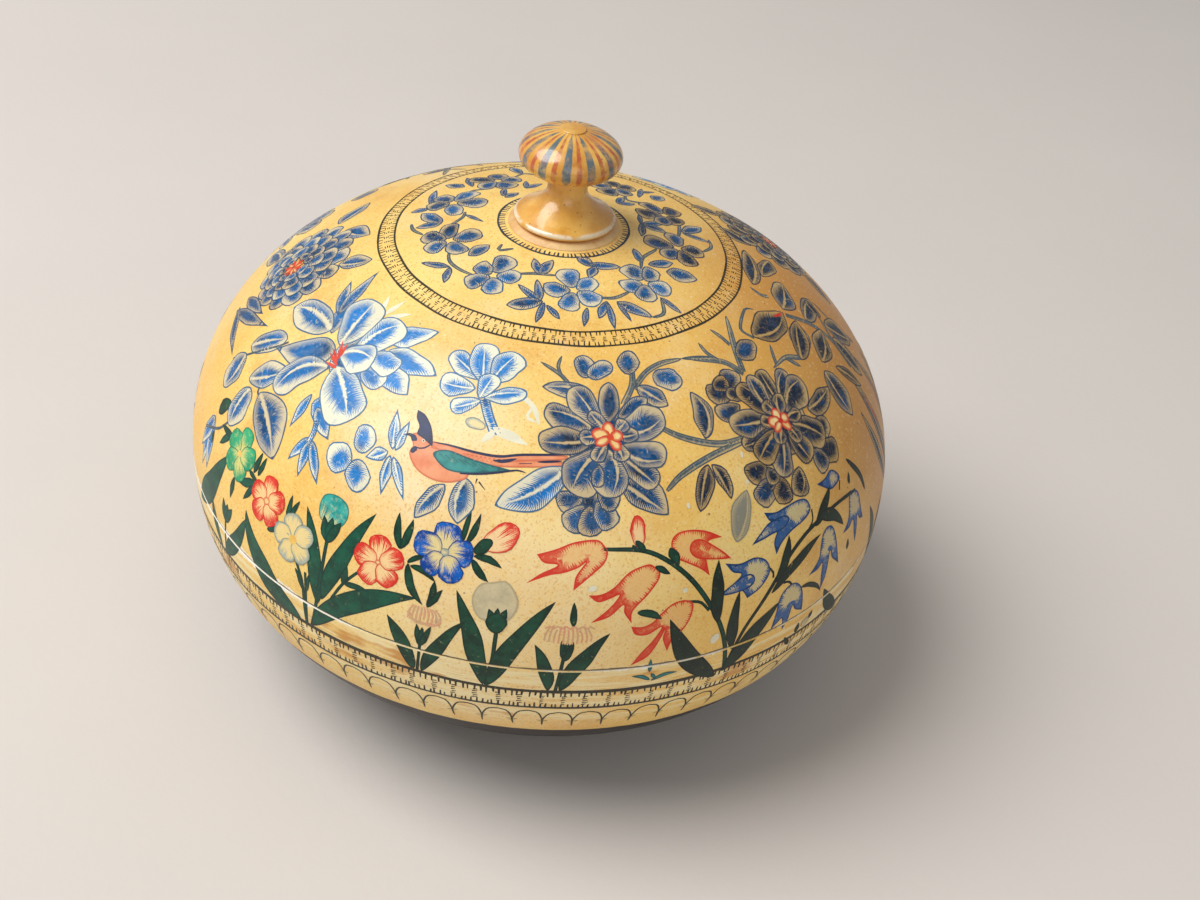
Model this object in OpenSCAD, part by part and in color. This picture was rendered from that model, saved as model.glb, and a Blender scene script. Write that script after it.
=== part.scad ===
// Round domed box of papier mache with a lift-off lid and a turned wooden knob.
// Z is up, the origin is the centre of the foot that the bowl stands on.

/* [Body] */
// Widest diameter of the box, at the seam between bowl and lid
body_d = 150; // [120:1:190]
// Height of the seam above the table
bowl_h = 46; // [38:0.5:58]
// Height of the lid's dome above the seam
lid_h = 52.3; // [42:0.1:66]
// Diameter of the flat foot under the bowl
base_d = 67; // [50:1:80]
// Thickness of the pulp walls
wall = 4; // [3:0.1:5.5]
// Fullness of the lid's curve, where 2 is an ellipse and more is squarer
lid_fullness = 2.12; // [1.9:0.01:2.6]
// Fullness of the bowl's curve
bowl_fullness = 2.21; // [1.9:0.01:2.6]

/* [Foot] */
// Width of the ring that touches the table
foot_ring_w = 7; // [4:0.5:12]
// Depth of the dished middle of the underside
foot_dish = 1.2; // [0.4:0.1:2]

/* [Collar] */
// How far the collar stands up into the lid
collar_rise = 7; // [4:0.5:11]
// How far the collar is glued down into the bowl
collar_depth = 9; // [5:0.5:12]
// Thickness of the collar
collar_t = 2.6; // [1.6:0.1:3.6]
// Gap all round between the collar and the lid
lid_gap = 0.35; // [0.2:0.05:0.8]
// Chamfer that leads the lid over the collar
lead_in = 0.8; // [0.3:0.1:1.2]

/* [Knob] */
// Diameter of the knob's cap
cap_d = 20.7; // [16:0.1:27]
// Height of the cap above its widest line
cap_top_h = 5.5; // [4:0.1:8]
// Height of the cap below its widest line
cap_under_h = 3.9; // [2.5:0.1:6]
// Diameter of the small disc on top of the cap
button_d = 5.2; // [3:0.1:7]
// Height of the small disc
button_h = 0.3; // [0.2:0.05:0.8]
// Diameter of the neck under the cap
neck_d = 8; // [6.6:0.1:10]
// Length of the straight part of the neck
neck_h = 3.3; // [1:0.1:6]
// Diameter of the rim round the foot of the knob
rim_d = 20.6; // [17:0.1:26]
// Thickness of that rim
rim_t = 1; // [0.6:0.1:2]
// Height of the flare from the rim to the neck
flare_h = 5.6; // [4:0.1:9]
// How far the underside of the rim stands clear of the bedding
undercut_h = 0.5; // [0.2:0.1:1.2]
// How far the rim reaches out past the part that beds down
undercut_w = 1; // [0.4:0.1:2]

/* [Knob fixing] */
// Diameter of the tenon that passes through the crown of the lid
tenon_d = 6; // [4.5:0.1:6.4]
// Gap all round the tenon
tenon_gap = 0.05; // [0.02:0.01:0.2]
// Diameter of the bedding ring between knob and crown
seat_d = 22.6; // [20:0.1:28]
// Thickness of the bedding ring under the knob
seat_t = 1.1; // [0.6:0.1:2]
// Thickness of the bedding ring at its outer edge
seat_edge_t = 0.25; // [0.1:0.05:0.5]
// Diameter of the washer glued inside the crown
washer_d = 18; // [12:0.5:24]
// Thickness of the washer
washer_t = 2.6; // [1.5:0.1:4]

/* [Hidden] */
steps = 36;          // points along each long curve
$fn = 120;
body_r = body_d / 2;
base_r = base_d / 2;
inner_r = body_r - wall;
seam_z = bowl_h;
// depth at which the bowl's outer curve would close if the foot did not cut it
bowl_full = bowl_h / pow(1 - pow(base_r / body_r, bowl_fullness), 1 / bowl_fullness);
floor_z = wall + foot_dish;
crown_in = lid_h - wall;
seat_r = seat_d / 2;
washer_r = washer_d / 2;
bore_r = tenon_d / 2 + tenon_gap;
// flat turned on the crown for the bedding ring, and its twin inside for the washer
crown_flat_z = seam_z + height_at(seat_r, body_r, lid_h, lid_fullness);
washer_flat_z = seam_z + height_at(washer_r, inner_r, crown_in, lid_fullness);
knob_z = crown_flat_z + seat_t;
rim_z = knob_z + undercut_h;
neck_z = rim_z + rim_t + flare_h;
cap_z = neck_z + neck_h + cap_under_h;

// height of a full curve at radius r, and its radius at height z
function height_at(r, rx, rz, n) = rz * pow(1 - pow(r / rx, n), 1 / n);
function radius_at(z, rx, rz, n) = rx * pow(1 - pow(z / rz, n), 1 / n);
// points of a full curve between two heights, evenly spaced in angle
function angle_at(z, rz, n) = asin(pow(z / rz, n / 2));
function full_curve(rx, rz, n, z0, z1, count) =
    let (a0 = angle_at(z0, rz, n), a1 = angle_at(z1, rz, n))
    [for (i = [0:count]) let (a = a0 + (a1 - a0) * i / count)
        [rx * pow(cos(a), 2 / n), rz * pow(sin(a), 2 / n)]];
function raised(points, z) = [for (p = points) [p[0], z + p[1]]];
function mirrored(points, z) = [for (p = points) [p[0], z - p[1]]];
function reversed(points) = [for (i = [len(points) - 1:-1:0]) points[i]];

// bowl: curved wall, flat foot ring with a dished middle, rebate for the collar
module bowl_shell() {
    outside = mirrored(full_curve(body_r, bowl_full, bowl_fullness, 0, bowl_h, steps), seam_z);
    inside_full = bowl_full - wall;
    inside = mirrored(full_curve(inner_r, inside_full, bowl_fullness,
                                 collar_depth, seam_z - floor_z, steps), seam_z);
    color("goldenrod") rotate_extrude()
        polygon(concat(
            outside,
            [[base_r - foot_ring_w, 0], [base_r - foot_ring_w - foot_dish, foot_dish], [0, foot_dish]],
            [[0, floor_z]],
            reversed(inside),
            [[inner_r, seam_z - collar_depth], [inner_r, seam_z]]));
}

// collar: glued into the bowl's rebate, stands up inside the lid
module bowl_collar() {
    low = seam_z - collar_depth;
    top = seam_z + collar_rise;
    step_z = seam_z - lid_gap;
    guide_r = inner_r - lid_gap;
    color("saddlebrown") rotate_extrude()
        polygon([[inner_r - collar_t, low], [inner_r, low], [inner_r, step_z], [guide_r, step_z],
                 [guide_r, top - lead_in], [guide_r - lead_in, top], [inner_r - collar_t, top]]);
}

// lid: domed shell with a rebate for the collar, flat crown and bore for the knob
module lid_shell() {
    rebate = collar_rise + lid_gap * 2;
    outside = raised(full_curve(body_r, lid_h, lid_fullness, 0, crown_flat_z - seam_z, steps), seam_z);
    inside = raised(full_curve(inner_r, crown_in, lid_fullness, rebate,
                               washer_flat_z - seam_z, steps), seam_z);
    color("gold") rotate_extrude()
        polygon(concat(
            outside,
            [[bore_r, crown_flat_z], [bore_r, washer_flat_z]],
            reversed(inside),
            [[inner_r, seam_z + rebate], [inner_r, seam_z]]));
}

// bedding ring: pale filler between the flat crown and the knob
module knob_seat() {
    step_r = rim_d / 2 - undercut_w;
    color("blanchedalmond") rotate_extrude()
        polygon([[bore_r, crown_flat_z], [seat_r, crown_flat_z],
                 [seat_r, crown_flat_z + seat_edge_t], [step_r + 0.2, knob_z], [bore_r, knob_z]]);
}

// knob: bun-shaped cap, straight neck, flared foot with a thin rim, tenon below
module knob_turning() {
    cap_r = cap_d / 2;
    neck_r = neck_d / 2;
    rim_r = rim_d / 2;
    bevel = rim_t / 4;
    tenon_end = washer_flat_z - washer_t;
    flare = [for (i = [0:14]) let (s = i / 14)
        [neck_r + (rim_r - bevel - neck_r) * pow(1 - s, 1.8), rim_z + rim_t + flare_h * s]];
    under = [for (i = [0:12]) let (a = 90 * i / 12)
        [neck_r + (cap_r - neck_r) * sin(a), cap_z - cap_under_h * cos(a)]];
    over = [for (p = full_curve(cap_r, cap_top_h, 1.95, 0,
                                height_at(button_d / 2, cap_r, cap_top_h, 1.95), 16))
        [p[0], cap_z + p[1]]];
    button_z = over[16][1] + button_h;
    color("orange") rotate_extrude()
        polygon(concat(
            [[0, tenon_end], [tenon_d / 2, tenon_end], [tenon_d / 2, knob_z],
             [rim_r - undercut_w, knob_z], [rim_r - undercut_w, rim_z], [rim_r - bevel, rim_z],
             [rim_r, rim_z + bevel], [rim_r, rim_z + rim_t - bevel]],
            flare, under, [for (i = [1:16]) over[i]],
            [[button_d / 2, button_z], [0, button_z]]));
}

// washer: wooden disc glued round the tenon's end inside the lid
module knob_washer() {
    edge = washer_t / 4;
    low = washer_flat_z - washer_t;
    color("burlywood") rotate_extrude()
        polygon([[bore_r, low], [washer_r - edge, low], [washer_r, low + edge],
                 [washer_r, washer_flat_z], [bore_r, washer_flat_z]]);
}

bowl_shell();
bowl_collar();
lid_shell();
knob_seat();
knob_turning();
knob_washer();
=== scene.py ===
"""Looks of the round papier mache box: shells, knob, painted flowers and bird, lights and camera."""
import math
import random

import bmesh
import bpy
import numpy as np
from mathutils import Matrix, Vector
from mathutils.geometry import delaunay_2d_cdt


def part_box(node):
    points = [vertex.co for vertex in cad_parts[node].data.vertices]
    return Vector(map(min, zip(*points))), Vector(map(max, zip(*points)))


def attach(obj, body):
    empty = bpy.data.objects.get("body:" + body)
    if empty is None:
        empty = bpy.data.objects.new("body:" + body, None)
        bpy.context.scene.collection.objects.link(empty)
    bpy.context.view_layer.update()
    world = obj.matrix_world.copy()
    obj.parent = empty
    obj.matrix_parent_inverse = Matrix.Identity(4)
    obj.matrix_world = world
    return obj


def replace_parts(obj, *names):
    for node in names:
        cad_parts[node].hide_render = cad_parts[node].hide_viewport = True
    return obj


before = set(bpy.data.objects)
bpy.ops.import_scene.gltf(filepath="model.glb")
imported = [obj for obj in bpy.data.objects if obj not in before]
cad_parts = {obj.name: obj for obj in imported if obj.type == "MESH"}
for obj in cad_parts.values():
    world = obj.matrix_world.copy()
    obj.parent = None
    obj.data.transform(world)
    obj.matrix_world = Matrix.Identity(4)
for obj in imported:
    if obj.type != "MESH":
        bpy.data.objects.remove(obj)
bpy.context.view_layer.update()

MM = 0.001

# Sizes in millimetres, the first ones read from the frame.
BODY_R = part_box("lid_shell")[1].x / MM
SEAM_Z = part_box("bowl_shell")[1].z / MM
CROWN_FLAT_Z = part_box("lid_shell")[1].z / MM
COLLAR_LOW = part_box("bowl_collar")[0].z / MM
COLLAR_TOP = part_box("bowl_collar")[1].z / MM
SEAT_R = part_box("knob_seat")[1].x / MM
SEAT_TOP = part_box("knob_seat")[1].z / MM
KNOB_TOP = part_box("knob_turning")[1].z / MM
TENON_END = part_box("knob_turning")[0].z / MM
CAP_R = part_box("knob_turning")[1].x / MM
WASHER_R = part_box("knob_washer")[1].x / MM
WASHER_LOW, WASHER_TOP = (c.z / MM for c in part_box("knob_washer"))
# A box can't tell the rest, so they are those of the CAD.
LID_H = 52.3            # from the seam to where the lid's curve would close over the bore
LID_FULL = 2.12         # how square the two curves are, 2 being an ellipse
BOWL_FULL = 2.21
BASE_R = 33.5
WALL = 4.0
INNER_R = BODY_R - WALL
FOOT_RING_W = 7.0
FOOT_DISH = 1.2
BORE_R = 3.05
TENON_R = 3.0
LID_GAP = 0.35
COLLAR_T = 2.6
BLACK_Z = 25.3          # height at which the black underside begins
# depth at which the bowl's curve would close if the foot did not cut it
BOWL_DEEP = SEAM_Z / (1 - (BASE_R / BODY_R) ** BOWL_FULL) ** (1 / BOWL_FULL)


def curve_points(rx, rz, n, start, end, count):
    """Points (radius, height) of a full curve between two heights."""
    a0, a1 = (math.asin(min(1.0, (h / rz)) ** (n / 2)) for h in (start, end))
    angles = [a0 + (a1 - a0) * i / count for i in range(count + 1)]
    return [(rx * math.cos(a) ** (2 / n), rz * math.sin(a) ** (2 / n)) for a in angles]


def bezier(start, middle, end, t):
    return (1 - t) ** 2 * start + 2 * t * (1 - t) * middle + t * t * end


def run_along(points):
    """How far along a line each of its points lies."""
    return np.concatenate([[0], np.cumsum(np.hypot(*np.diff(points, axis=0).T))])


def lid_curve(*span):
    """Outside of the lid from the crown down to the seam."""
    return [(r, SEAM_Z + h) for r, h in curve_points(BODY_R, LID_H, LID_FULL, 0, *span)][::-1]


def bowl_curve(count):
    """Outside of the bowl from the seam down to the foot."""
    return [(r, SEAM_Z - h) for r, h in curve_points(BODY_R, BOWL_DEEP, BOWL_FULL, 0, SEAM_Z, count)]


PROFILE = np.array(lid_curve(LID_H, 1200) + bowl_curve(800)[1:])
PROFILE_RUN = run_along(PROFILE)


def profile_at(s):
    """Radius and height of the body's outside, s mm down from the crown."""
    return np.interp(s, PROFILE_RUN, PROFILE[:, 0]), np.interp(s, PROFILE_RUN, PROFILE[:, 1])


def radius_at(s):
    return profile_at(s)[0]


def on_body(phi, s, lift):
    """Point in metres at azimuth phi (radians, 0 at the front, + to the right), s mm down from the crown."""
    r, z = profile_at(s)
    r2, z2 = profile_at(s + 0.5)
    r1, z1 = profile_at(s - 0.5)
    dr, dz = r2 - r1, z2 - z1
    length = np.hypot(dr, dz) + 1e-9
    r, z = r - dz / length * lift, z + dr / length * lift
    return np.stack([r * np.sin(phi), -r * np.cos(phi), z], -1) * MM


def link(mesh, name):
    obj = bpy.data.objects.new(name, mesh)
    bpy.context.scene.collection.objects.link(obj)
    return obj


def revolve(name, points, slots, segments=288, closed=True):
    """Body of revolution from (radius, height, slot index of the face that starts there) in mm."""
    angles = np.linspace(0, 2 * math.pi, segments, endpoint=False)
    verts, rings = [], []
    for r, z, _ in points:
        if r < 1e-6:
            rings.append([len(verts)])
            verts.append((0, 0, z * MM))
        else:
            rings.append(list(range(len(verts), len(verts) + segments)))
            verts += [(r * MM * math.sin(a), -r * MM * math.cos(a), z * MM) for a in angles]
    faces, mats = [], []
    count = len(points)
    for i in range(count if closed else count - 1):
        a, b = rings[i], rings[(i + 1) % count]
        if len(a) == 1 and len(b) == 1:
            continue
        for k in range(segments):
            m = (k + 1) % segments
            if len(a) == 1:
                face = (a[0], b[k], b[m])
            elif len(b) == 1:
                face = (a[k], b[0], a[m])
            else:
                face = (a[k], b[k], b[m], a[m])
            faces.append(face)
            mats.append(points[i][2])
    mesh = bpy.data.meshes.new(name)
    mesh.from_pydata(verts, [], faces)
    for m in slots:
        mesh.materials.append(m)
    mesh.polygons.foreach_set("material_index", mats)
    mesh.validate()
    mesh.update()
    mesh.shade_smooth()
    mesh.set_sharp_from_angle(angle=math.radians(38))
    return link(mesh, name)


def tint(*screen):
    """Colour from 0 to 255 screen values, turned into scene-linear light."""
    return tuple((c / 255 / 12.92 if c < 11 else ((c / 255 + 0.055) / 1.055) ** 2.4) for c in screen) + (1.0,)


class Wire:
    """Output of a node; arithmetic on it adds math nodes to its sheet."""

    def __init__(self, sheet, socket):
        self.sheet = sheet
        self.socket = socket

    def __mul__(self, other):
        return self.sheet.math("MULTIPLY", self, other)

    def __add__(self, other):
        return self.sheet.math("ADD", self, other)

    def __sub__(self, other):
        return self.sheet.math("SUBTRACT", self, other)

    def __rsub__(self, other):
        return self.sheet.math("SUBTRACT", other, self)

    def __truediv__(self, other):
        return self.sheet.math("DIVIDE", self, other)

    def __abs__(self):
        return self.sheet.math("ABSOLUTE", self)

    def scaled(self, factor, plus):
        return self.sheet.math("MULTIPLY_ADD", self, factor, plus)

    def at_least(self, other):
        return self.sheet.math("MAXIMUM", self, other)

    def at_most(self, other):
        return self.sheet.math("MINIMUM", self, other)

    def above(self, other):
        return self.sheet.math("GREATER_THAN", self, other)

    def below(self, other):
        return self.sheet.math("LESS_THAN", self, other)

    def ramp(self, low, high, to_low=0.0, to_high=1.0, smooth=True):
        """Goes from to_low to to_high while this output goes from low to high."""
        kind = "SMOOTHSTEP" if smooth else "LINEAR"
        return self.sheet("MapRange", {0: self, 1: low, 2: high, 3: to_low, 4: to_high},
                          interpolation_type=kind)

    def beside(self, name):
        """Another output of the same node."""
        return Wire(self.sheet, self.socket.node.outputs[name])


class Sheet:
    """A node material under construction; calling it adds one node and gives one of its outputs."""

    def __init__(self, name):
        self.mat = bpy.data.materials.new(name)
        self.mat.use_nodes = True
        self.tree = self.mat.node_tree
        self.shader = self.tree.nodes["Principled BSDF"]
        self.object = self("TexCoord", out="Object")

    def __call__(self, kind, inputs=None, out=0, **props):
        node = self.tree.nodes.new("ShaderNode" + kind)
        for key, value in props.items():
            setattr(node, key, value)
        for key, value in (inputs or {}).items():
            self.put(node.inputs[key], value)
        return Wire(self, node.outputs[out])

    def put(self, socket, value):
        if isinstance(value, Wire):
            self.tree.links.new(value.socket, socket)
        else:
            socket.default_value = value

    def math(self, operation, a, b=0.0, c=0.0, clamp=False):
        return self("Math", {0: a, 1: b, 2: c}, operation=operation, use_clamp=clamp)

    def mix(self, factor, a, b):
        """Blend of two colours, each an output of a node or three screen values from 0 to 255."""
        a, b = (tint(*c) if isinstance(c, tuple) else c for c in (a, b))
        return self("Mix", {0: factor, 6: a, 7: b}, 2, data_type="RGBA")

    def noise(self, scale, detail=3.0, rough=0.55, vector=None, seed=0.0):
        return self("TexNoise", {"Vector": vector or self.object, "Scale": scale, "Detail": detail,
                                 "Roughness": rough, "W": seed}, "Fac", noise_dimensions="4D")

    def stretched(self, x, y, z):
        return self("Mapping", {"Vector": self.object, "Scale": (x, y, z)})

    def attributes(self, *names):
        return [self("Attribute", out="Fac", attribute_name=name) for name in names]

    def split(self, vector=None):
        x = self("SeparateXYZ", {0: vector or self.object})
        return x, x.beside("Y"), x.beside("Z")

    def finish(self, colour, roughness, height=None, depth=0.0001, coat=0.25, coat_rough=0.12, spec=0.5):
        for name, value in (("Base Color", colour), ("Roughness", roughness), ("Coat Weight", coat),
                            ("Coat Roughness", coat_rough), ("Specular IOR Level", spec)):
            self.put(self.shader.inputs[name], value)
        if height is not None:
            bump = self("Bump", {"Height": height, "Distance": depth, "Strength": 1.0})
            self.put(self.shader.inputs["Normal"], bump)
        return self.mat


OCHRE = (242, 192, 96)
OCHRE_PALE = (250, 217, 130)
OCHRE_DEEP = (216, 146, 52)
CREAM = (250, 232, 178)
SPECKLE = (112, 78, 40)
# pale colour of worn lacquer, also used for the painted sheen round the bird
PALE_WEAR_AND_SHEEN = (248, 232, 192)
SIDE_SHADE = (192, 122, 44)
# painted shade: darker ochre for the side turned away from the key light
GESSO = (252, 244, 226)
STRIP_DEEP = (214, 166, 84)
RUST = (204, 134, 44)
CRACK_SHADOW = (84, 66, 42)
# painted shadow in the seam's crack
BLACK = (44, 36, 32)

# clouds in the lacquer: degrees, mm from the crown, reach in mm
SHEEN_PATCH = (-19.0, 62.0, 24.0)      # pale patch round the bird: painted sheen where the key light reflects, over worn cream ground
FADED = (0.0, 94.0, 40.0)        # creamier ground among the plants
SHADED_SIDE = (92.0, 74.0, 62.0)       # painted shade on the right side, which the key light reaches least
CHIPPED = (-48.0, 100.0, 44.0)   # the worst of the seam's chips


def cloud(sheet, place, strength):
    """Soft round patch on the body, full in its middle."""
    turn, s, reach = place
    centre = on_body(math.radians(turn), s, 0.0)
    away = sheet("VectorMath", {0: sheet.object, 1: tuple(float(c) for c in centre)}, "Value",
                 operation="DISTANCE")
    return away.ramp(reach * MM, 0.3 * reach * MM, 0.0, strength)


def specks(sheet, scale, share, small, large):
    """Round dots, each in one cell of a cell pattern; share is the part of the cells without one."""
    distance = sheet("TexVoronoi", {"Vector": sheet.object, "Scale": scale}, "Distance", feature="F1")
    pick, wide, _ = sheet.split(distance.beside("Color"))
    return distance.below(wide.ramp(0, 1, small, large, smooth=False)) * pick.above(share)


def gold(sheet):
    """Ochre ground under amber lacquer: cloudy patches, brush drag, dark specks, worn pale spots, a painted
    sheen round the bird and painted shade on the right side.
    """
    cloudy = sheet.noise(28, 4, 0.6).ramp(0.32, 0.68)
    colour = sheet.mix(cloudy, OCHRE, OCHRE_PALE)
    amber = sheet.noise(60, 5, 0.7, seed=3.1).ramp(0.5, 0.72)
    colour = sheet.mix(amber * 0.5, colour, OCHRE_DEEP)
    # pale haze where the lacquer has worn, and a painted sheen that is strongest round the bird
    near = cloud(sheet, SHEEN_PATCH, 0.62).at_least(cloud(sheet, FADED, 0.5))
    worn_and_sheen = near + sheet.noise(42, 5, 0.7, seed=7.7).ramp(0.5, 0.7, 0.0, 0.34)
    worn_and_sheen = worn_and_sheen * sheet.noise(210, 5, 0.75, seed=2.9).ramp(0.3, 0.62, 0.45, 1.0)
    colour = sheet.mix(worn_and_sheen, colour, PALE_WEAR_AND_SHEEN)
    # painted shade: the right side, turned away from the key light, is darkened in colour
    colour = sheet.mix(cloud(sheet, SHADED_SIDE, 0.8), colour, SIDE_SHADE)
    grain = sheet.noise(2100, 2, 0.6, seed=5.3).ramp(0.52, 0.7)
    colour = sheet.mix(grain * 0.55, colour, OCHRE_DEEP)
    light = sheet.noise(1500, 2, 0.6, seed=6.3).ramp(0.56, 0.72)
    colour = sheet.mix(light * 0.45, colour, CREAM)
    for scale, share, large, strength in ((1700.0, 0.80, 0.20, 0.55), (640.0, 0.94, 0.16, 0.7)):
        colour = sheet.mix(specks(sheet, scale, share, 0.03, large) * strength, colour, SPECKLE)
    return colour


def shell_height(sheet):
    """Gentle waves of the paper layers and fine brush marks, as a height from 0 to 1."""
    wave = sheet.noise(45, 2, 0.4, seed=1.7)
    fine = sheet.noise(420, 3, 0.5, seed=2.3)
    return wave * 0.9 + fine * 0.06


def gold_lacquer():
    sheet = Sheet("gold_lacquer")
    z = sheet.split()[2]
    colour = gold(sheet)
    # the strip below the seam is painted with cream brush streaks
    streak = sheet.noise(55, 4, 0.6, vector=sheet.stretched(1, 1, 14), seed=8.0)
    below = z.ramp((SEAM_Z + 1.5) * MM, (SEAM_Z - 1) * MM) * z.ramp((BLACK_Z + 2) * MM, (BLACK_Z + 8) * MM)
    streaks = streak.ramp(0.44, 0.56) * below
    colour = sheet.mix(streaks * 0.8, colour, CREAM)
    lines = sheet.noise(110, 4, 0.7, vector=sheet.stretched(1, 1, 22), seed=18.0)
    colour = sheet.mix(lines.ramp(0.55, 0.66) * below * 0.75, colour, STRIP_DEEP)
    rust = sheet.noise(48, 3, 0.6, vector=sheet.stretched(1, 1, 3), seed=28.0).ramp(0.58, 0.66)
    colour = sheet.mix(rust * below * 0.8, colour, RUST)
    # chips of pale ground along both sides of the seam
    height = z - SEAM_Z * MM
    ragged = sheet.noise(120, 5, 0.75, seed=14).scaled(5.0 * MM, -2.45 * MM)
    ragged = ragged + cloud(sheet, CHIPPED, 0.7 * MM)
    chip = (ragged - abs(height)).ramp(-0.05 * MM, 0.1 * MM)
    colour = sheet.mix(chip * 0.9, colour, GESSO)
    # the bowl's edge is rubbed down to the white ground, most at the left
    rubbed = sheet.noise(160, 3, 0.6, seed=34).scaled(0.9 * MM, -0.44 * MM)
    rubbed = rubbed + cloud(sheet, CHIPPED, 0.55 * MM)
    bare = height.ramp(0.04 * MM, -0.02 * MM) * (height + rubbed).ramp(-0.04 * MM, 0.06 * MM)
    colour = sheet.mix(bare * 0.92, colour, GESSO)
    # painted shadow in the crack, on the lid's side
    crack = sheet.noise(260, 4, 0.7, seed=24).scaled(0.9 * MM, -0.02 * MM)
    crack_shadow = (height - crack).ramp(0.08 * MM, -0.04 * MM) * height.ramp(-0.06 * MM, 0.02 * MM)
    colour = sheet.mix(crack_shadow * 0.9, colour, CRACK_SHADOW)
    # black below the painted edge, which wavers
    edge = sheet.noise(90, 3, 0.6, seed=4.0).scaled(1.6 * MM, (BLACK_Z - 0.8) * MM)
    black = (z - edge).ramp(0.15 * MM, -0.15 * MM)
    worn = sheet.noise(150, 5, 0.75, seed=6.0).ramp(0.66, 0.74)
    black = black * (1.0 - worn * 0.5)
    colour = sheet.mix(black, colour, BLACK)
    rough = sheet.noise(70, 4, 0.6, seed=9.0).ramp(0.3, 0.7, 0.38, 0.5)
    return sheet.finish(colour, rough, shell_height(sheet), 0.00012, coat=0.12, spec=0.34)


def black_lacquer():
    sheet = Sheet("black_lacquer")
    mottle = sheet.noise(120, 5, 0.7).ramp(0.35, 0.7)
    colour = sheet.mix(mottle, BLACK, (62, 50, 42))
    scuff = sheet.noise(260, 4, 0.8, seed=2.0).ramp(0.66, 0.72)
    colour = sheet.mix(scuff * 0.5, colour, (120, 100, 80))
    rough = sheet.noise(90, 4, 0.6, seed=4.0).ramp(0.3, 0.7, 0.32, 0.5)
    return sheet.finish(colour, rough, shell_height(sheet), 0.00018)


def raw_paper():
    """Rim edges and collar faces, where the layers of paper pulp and the pale ground show."""
    sheet = Sheet("paper_edge")
    layers = sheet.noise(160, 3, 0.6, vector=sheet.stretched(1, 1, 9))
    colour = sheet.mix(layers.ramp(0.35, 0.65), (176, 140, 96), (214, 188, 146))
    fibre = sheet.noise(1500, 3, 0.7, seed=3.0).ramp(0.4, 0.7)
    colour = sheet.mix(fibre * 0.4, colour, (150, 112, 72))
    return sheet.finish(colour, 0.75, fibre, 0.0001, coat=0.0)


GOLD = gold_lacquer()
BLACK_COAT = black_lacquer()
PAPER = raw_paper()


def wood_amber(sheet):
    """Amber lacquer over turned wood: warm, with browner pools and dark pinholes."""
    cloudy = sheet.noise(150, 4, 0.6).ramp(0.35, 0.68)
    colour = sheet.mix(cloudy, (214, 150, 54), (240, 190, 96))
    pool = sheet.noise(260, 5, 0.7, seed=2).ramp(0.55, 0.75)
    colour = sheet.mix(pool * 0.6, colour, (170, 92, 36))
    return sheet.mix(specks(sheet, 1100.0, 0.88, 0.2, 0.2) * 0.6, colour, SPECKLE)


KNOB_STRIPES = 13
CAP_Z = KNOB_TOP - 5.9          # height of the cap's widest ring
RIM_Z = SEAT_TOP + 0.5          # underside of the foot's rim
RIM_R = 10.3
RIM_T = 1.0
PLUG_R = RIM_R - 1.0            # what stands on the bedding ring, inside the rim
NECK_R = 4.0
FLARE_H, FLARE_POWER = 5.6, 1.8
NECK_H, UNDER_H = 3.3, 3.9
CAP_H, CAP_FULL = 5.5, 1.95
BUTTON_R, BUTTON_H = 2.6, 0.3


def knob_lacquer():
    """Cap striped in blue-grey and thinner red from the button down, neck and foot plain amber."""
    sheet = Sheet("knob_lacquer")
    x, y, z = sheet.split()
    colour = wood_amber(sheet)
    turn = sheet.math("ARCTAN2", x, y) / (2 * math.pi)
    wander = sheet.noise(260, 3, 0.6, seed=12).scaled(0.16, -0.08)
    count = turn * float(KNOB_STRIPES) + wander
    radius = sheet("VectorMath", {0: sheet("CombineXYZ", {0: x, 1: y})}, "Value", operation="LENGTH")
    height = z - (CAP_Z - 2.2) * MM
    # distance travelled from the button down the cap, 0 to 1
    belly = radius.ramp(2.4 * MM, 5.2 * MM) * height.ramp(0.0, 1.6 * MM)
    on_cap = height.above(0.0) * radius.above(2.5 * MM)
    worn = sheet.noise(420, 5, 0.75, seed=21).ramp(0.34, 0.58, 0.25, 1.0)
    for shift, width, shade, strength in ((0.0, 0.34, (74, 104, 118), 0.95),
                                          (0.5, 0.20, (176, 70, 52), 0.85)):
        side = abs(sheet.math("FRACT", count + shift) - 0.5)
        half = belly.scaled(0.75, 0.25) * (width / 2)
        mask = (half - side).ramp(-0.03, 0.03) * on_cap * worn
        colour = sheet.mix(mask * strength, colour, shade)
    blush = sheet.noise(190, 2, 0.5, seed=31).ramp(0.55, 0.7) * on_cap
    colour = sheet.mix(blush * 0.35, colour, (214, 104, 46))
    # the sharp rim has worn to a white line
    rim = abs(z - (RIM_Z + 0.75) * MM)
    rim = rim.ramp(0.55 * MM, 0.2 * MM) * radius.ramp(9.3 * MM, 9.9 * MM)
    rubbed = rim * sheet.noise(230, 4, 0.7, seed=41).ramp(0.36, 0.5)
    colour = sheet.mix(rubbed * 0.85, colour, (240, 226, 196))
    rough = sheet.noise(300, 4, 0.6, seed=9.0).ramp(0.3, 0.7, 0.2, 0.34)
    bump = sheet.noise(300, 3, 0.5, seed=6)
    return sheet.finish(colour, rough, bump, 0.00012, coat=0.6, coat_rough=0.08)


def bedding():
    """Pale cream filler bed under the knob, stained amber where lacquer ran."""
    sheet = Sheet("bedding_filler")
    colour = sheet.mix(sheet.noise(180, 4, 0.6).ramp(0.35, 0.65), (216, 168, 104), (234, 196, 136))
    stain = sheet.noise(330, 4, 0.7, seed=3).ramp(0.56, 0.7)
    colour = sheet.mix(stain * 0.5, colour, (206, 150, 84))
    return sheet.finish(colour, 0.5, sheet.noise(900, 3, 0.6, seed=5), 0.00008, coat=0.15)


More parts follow.
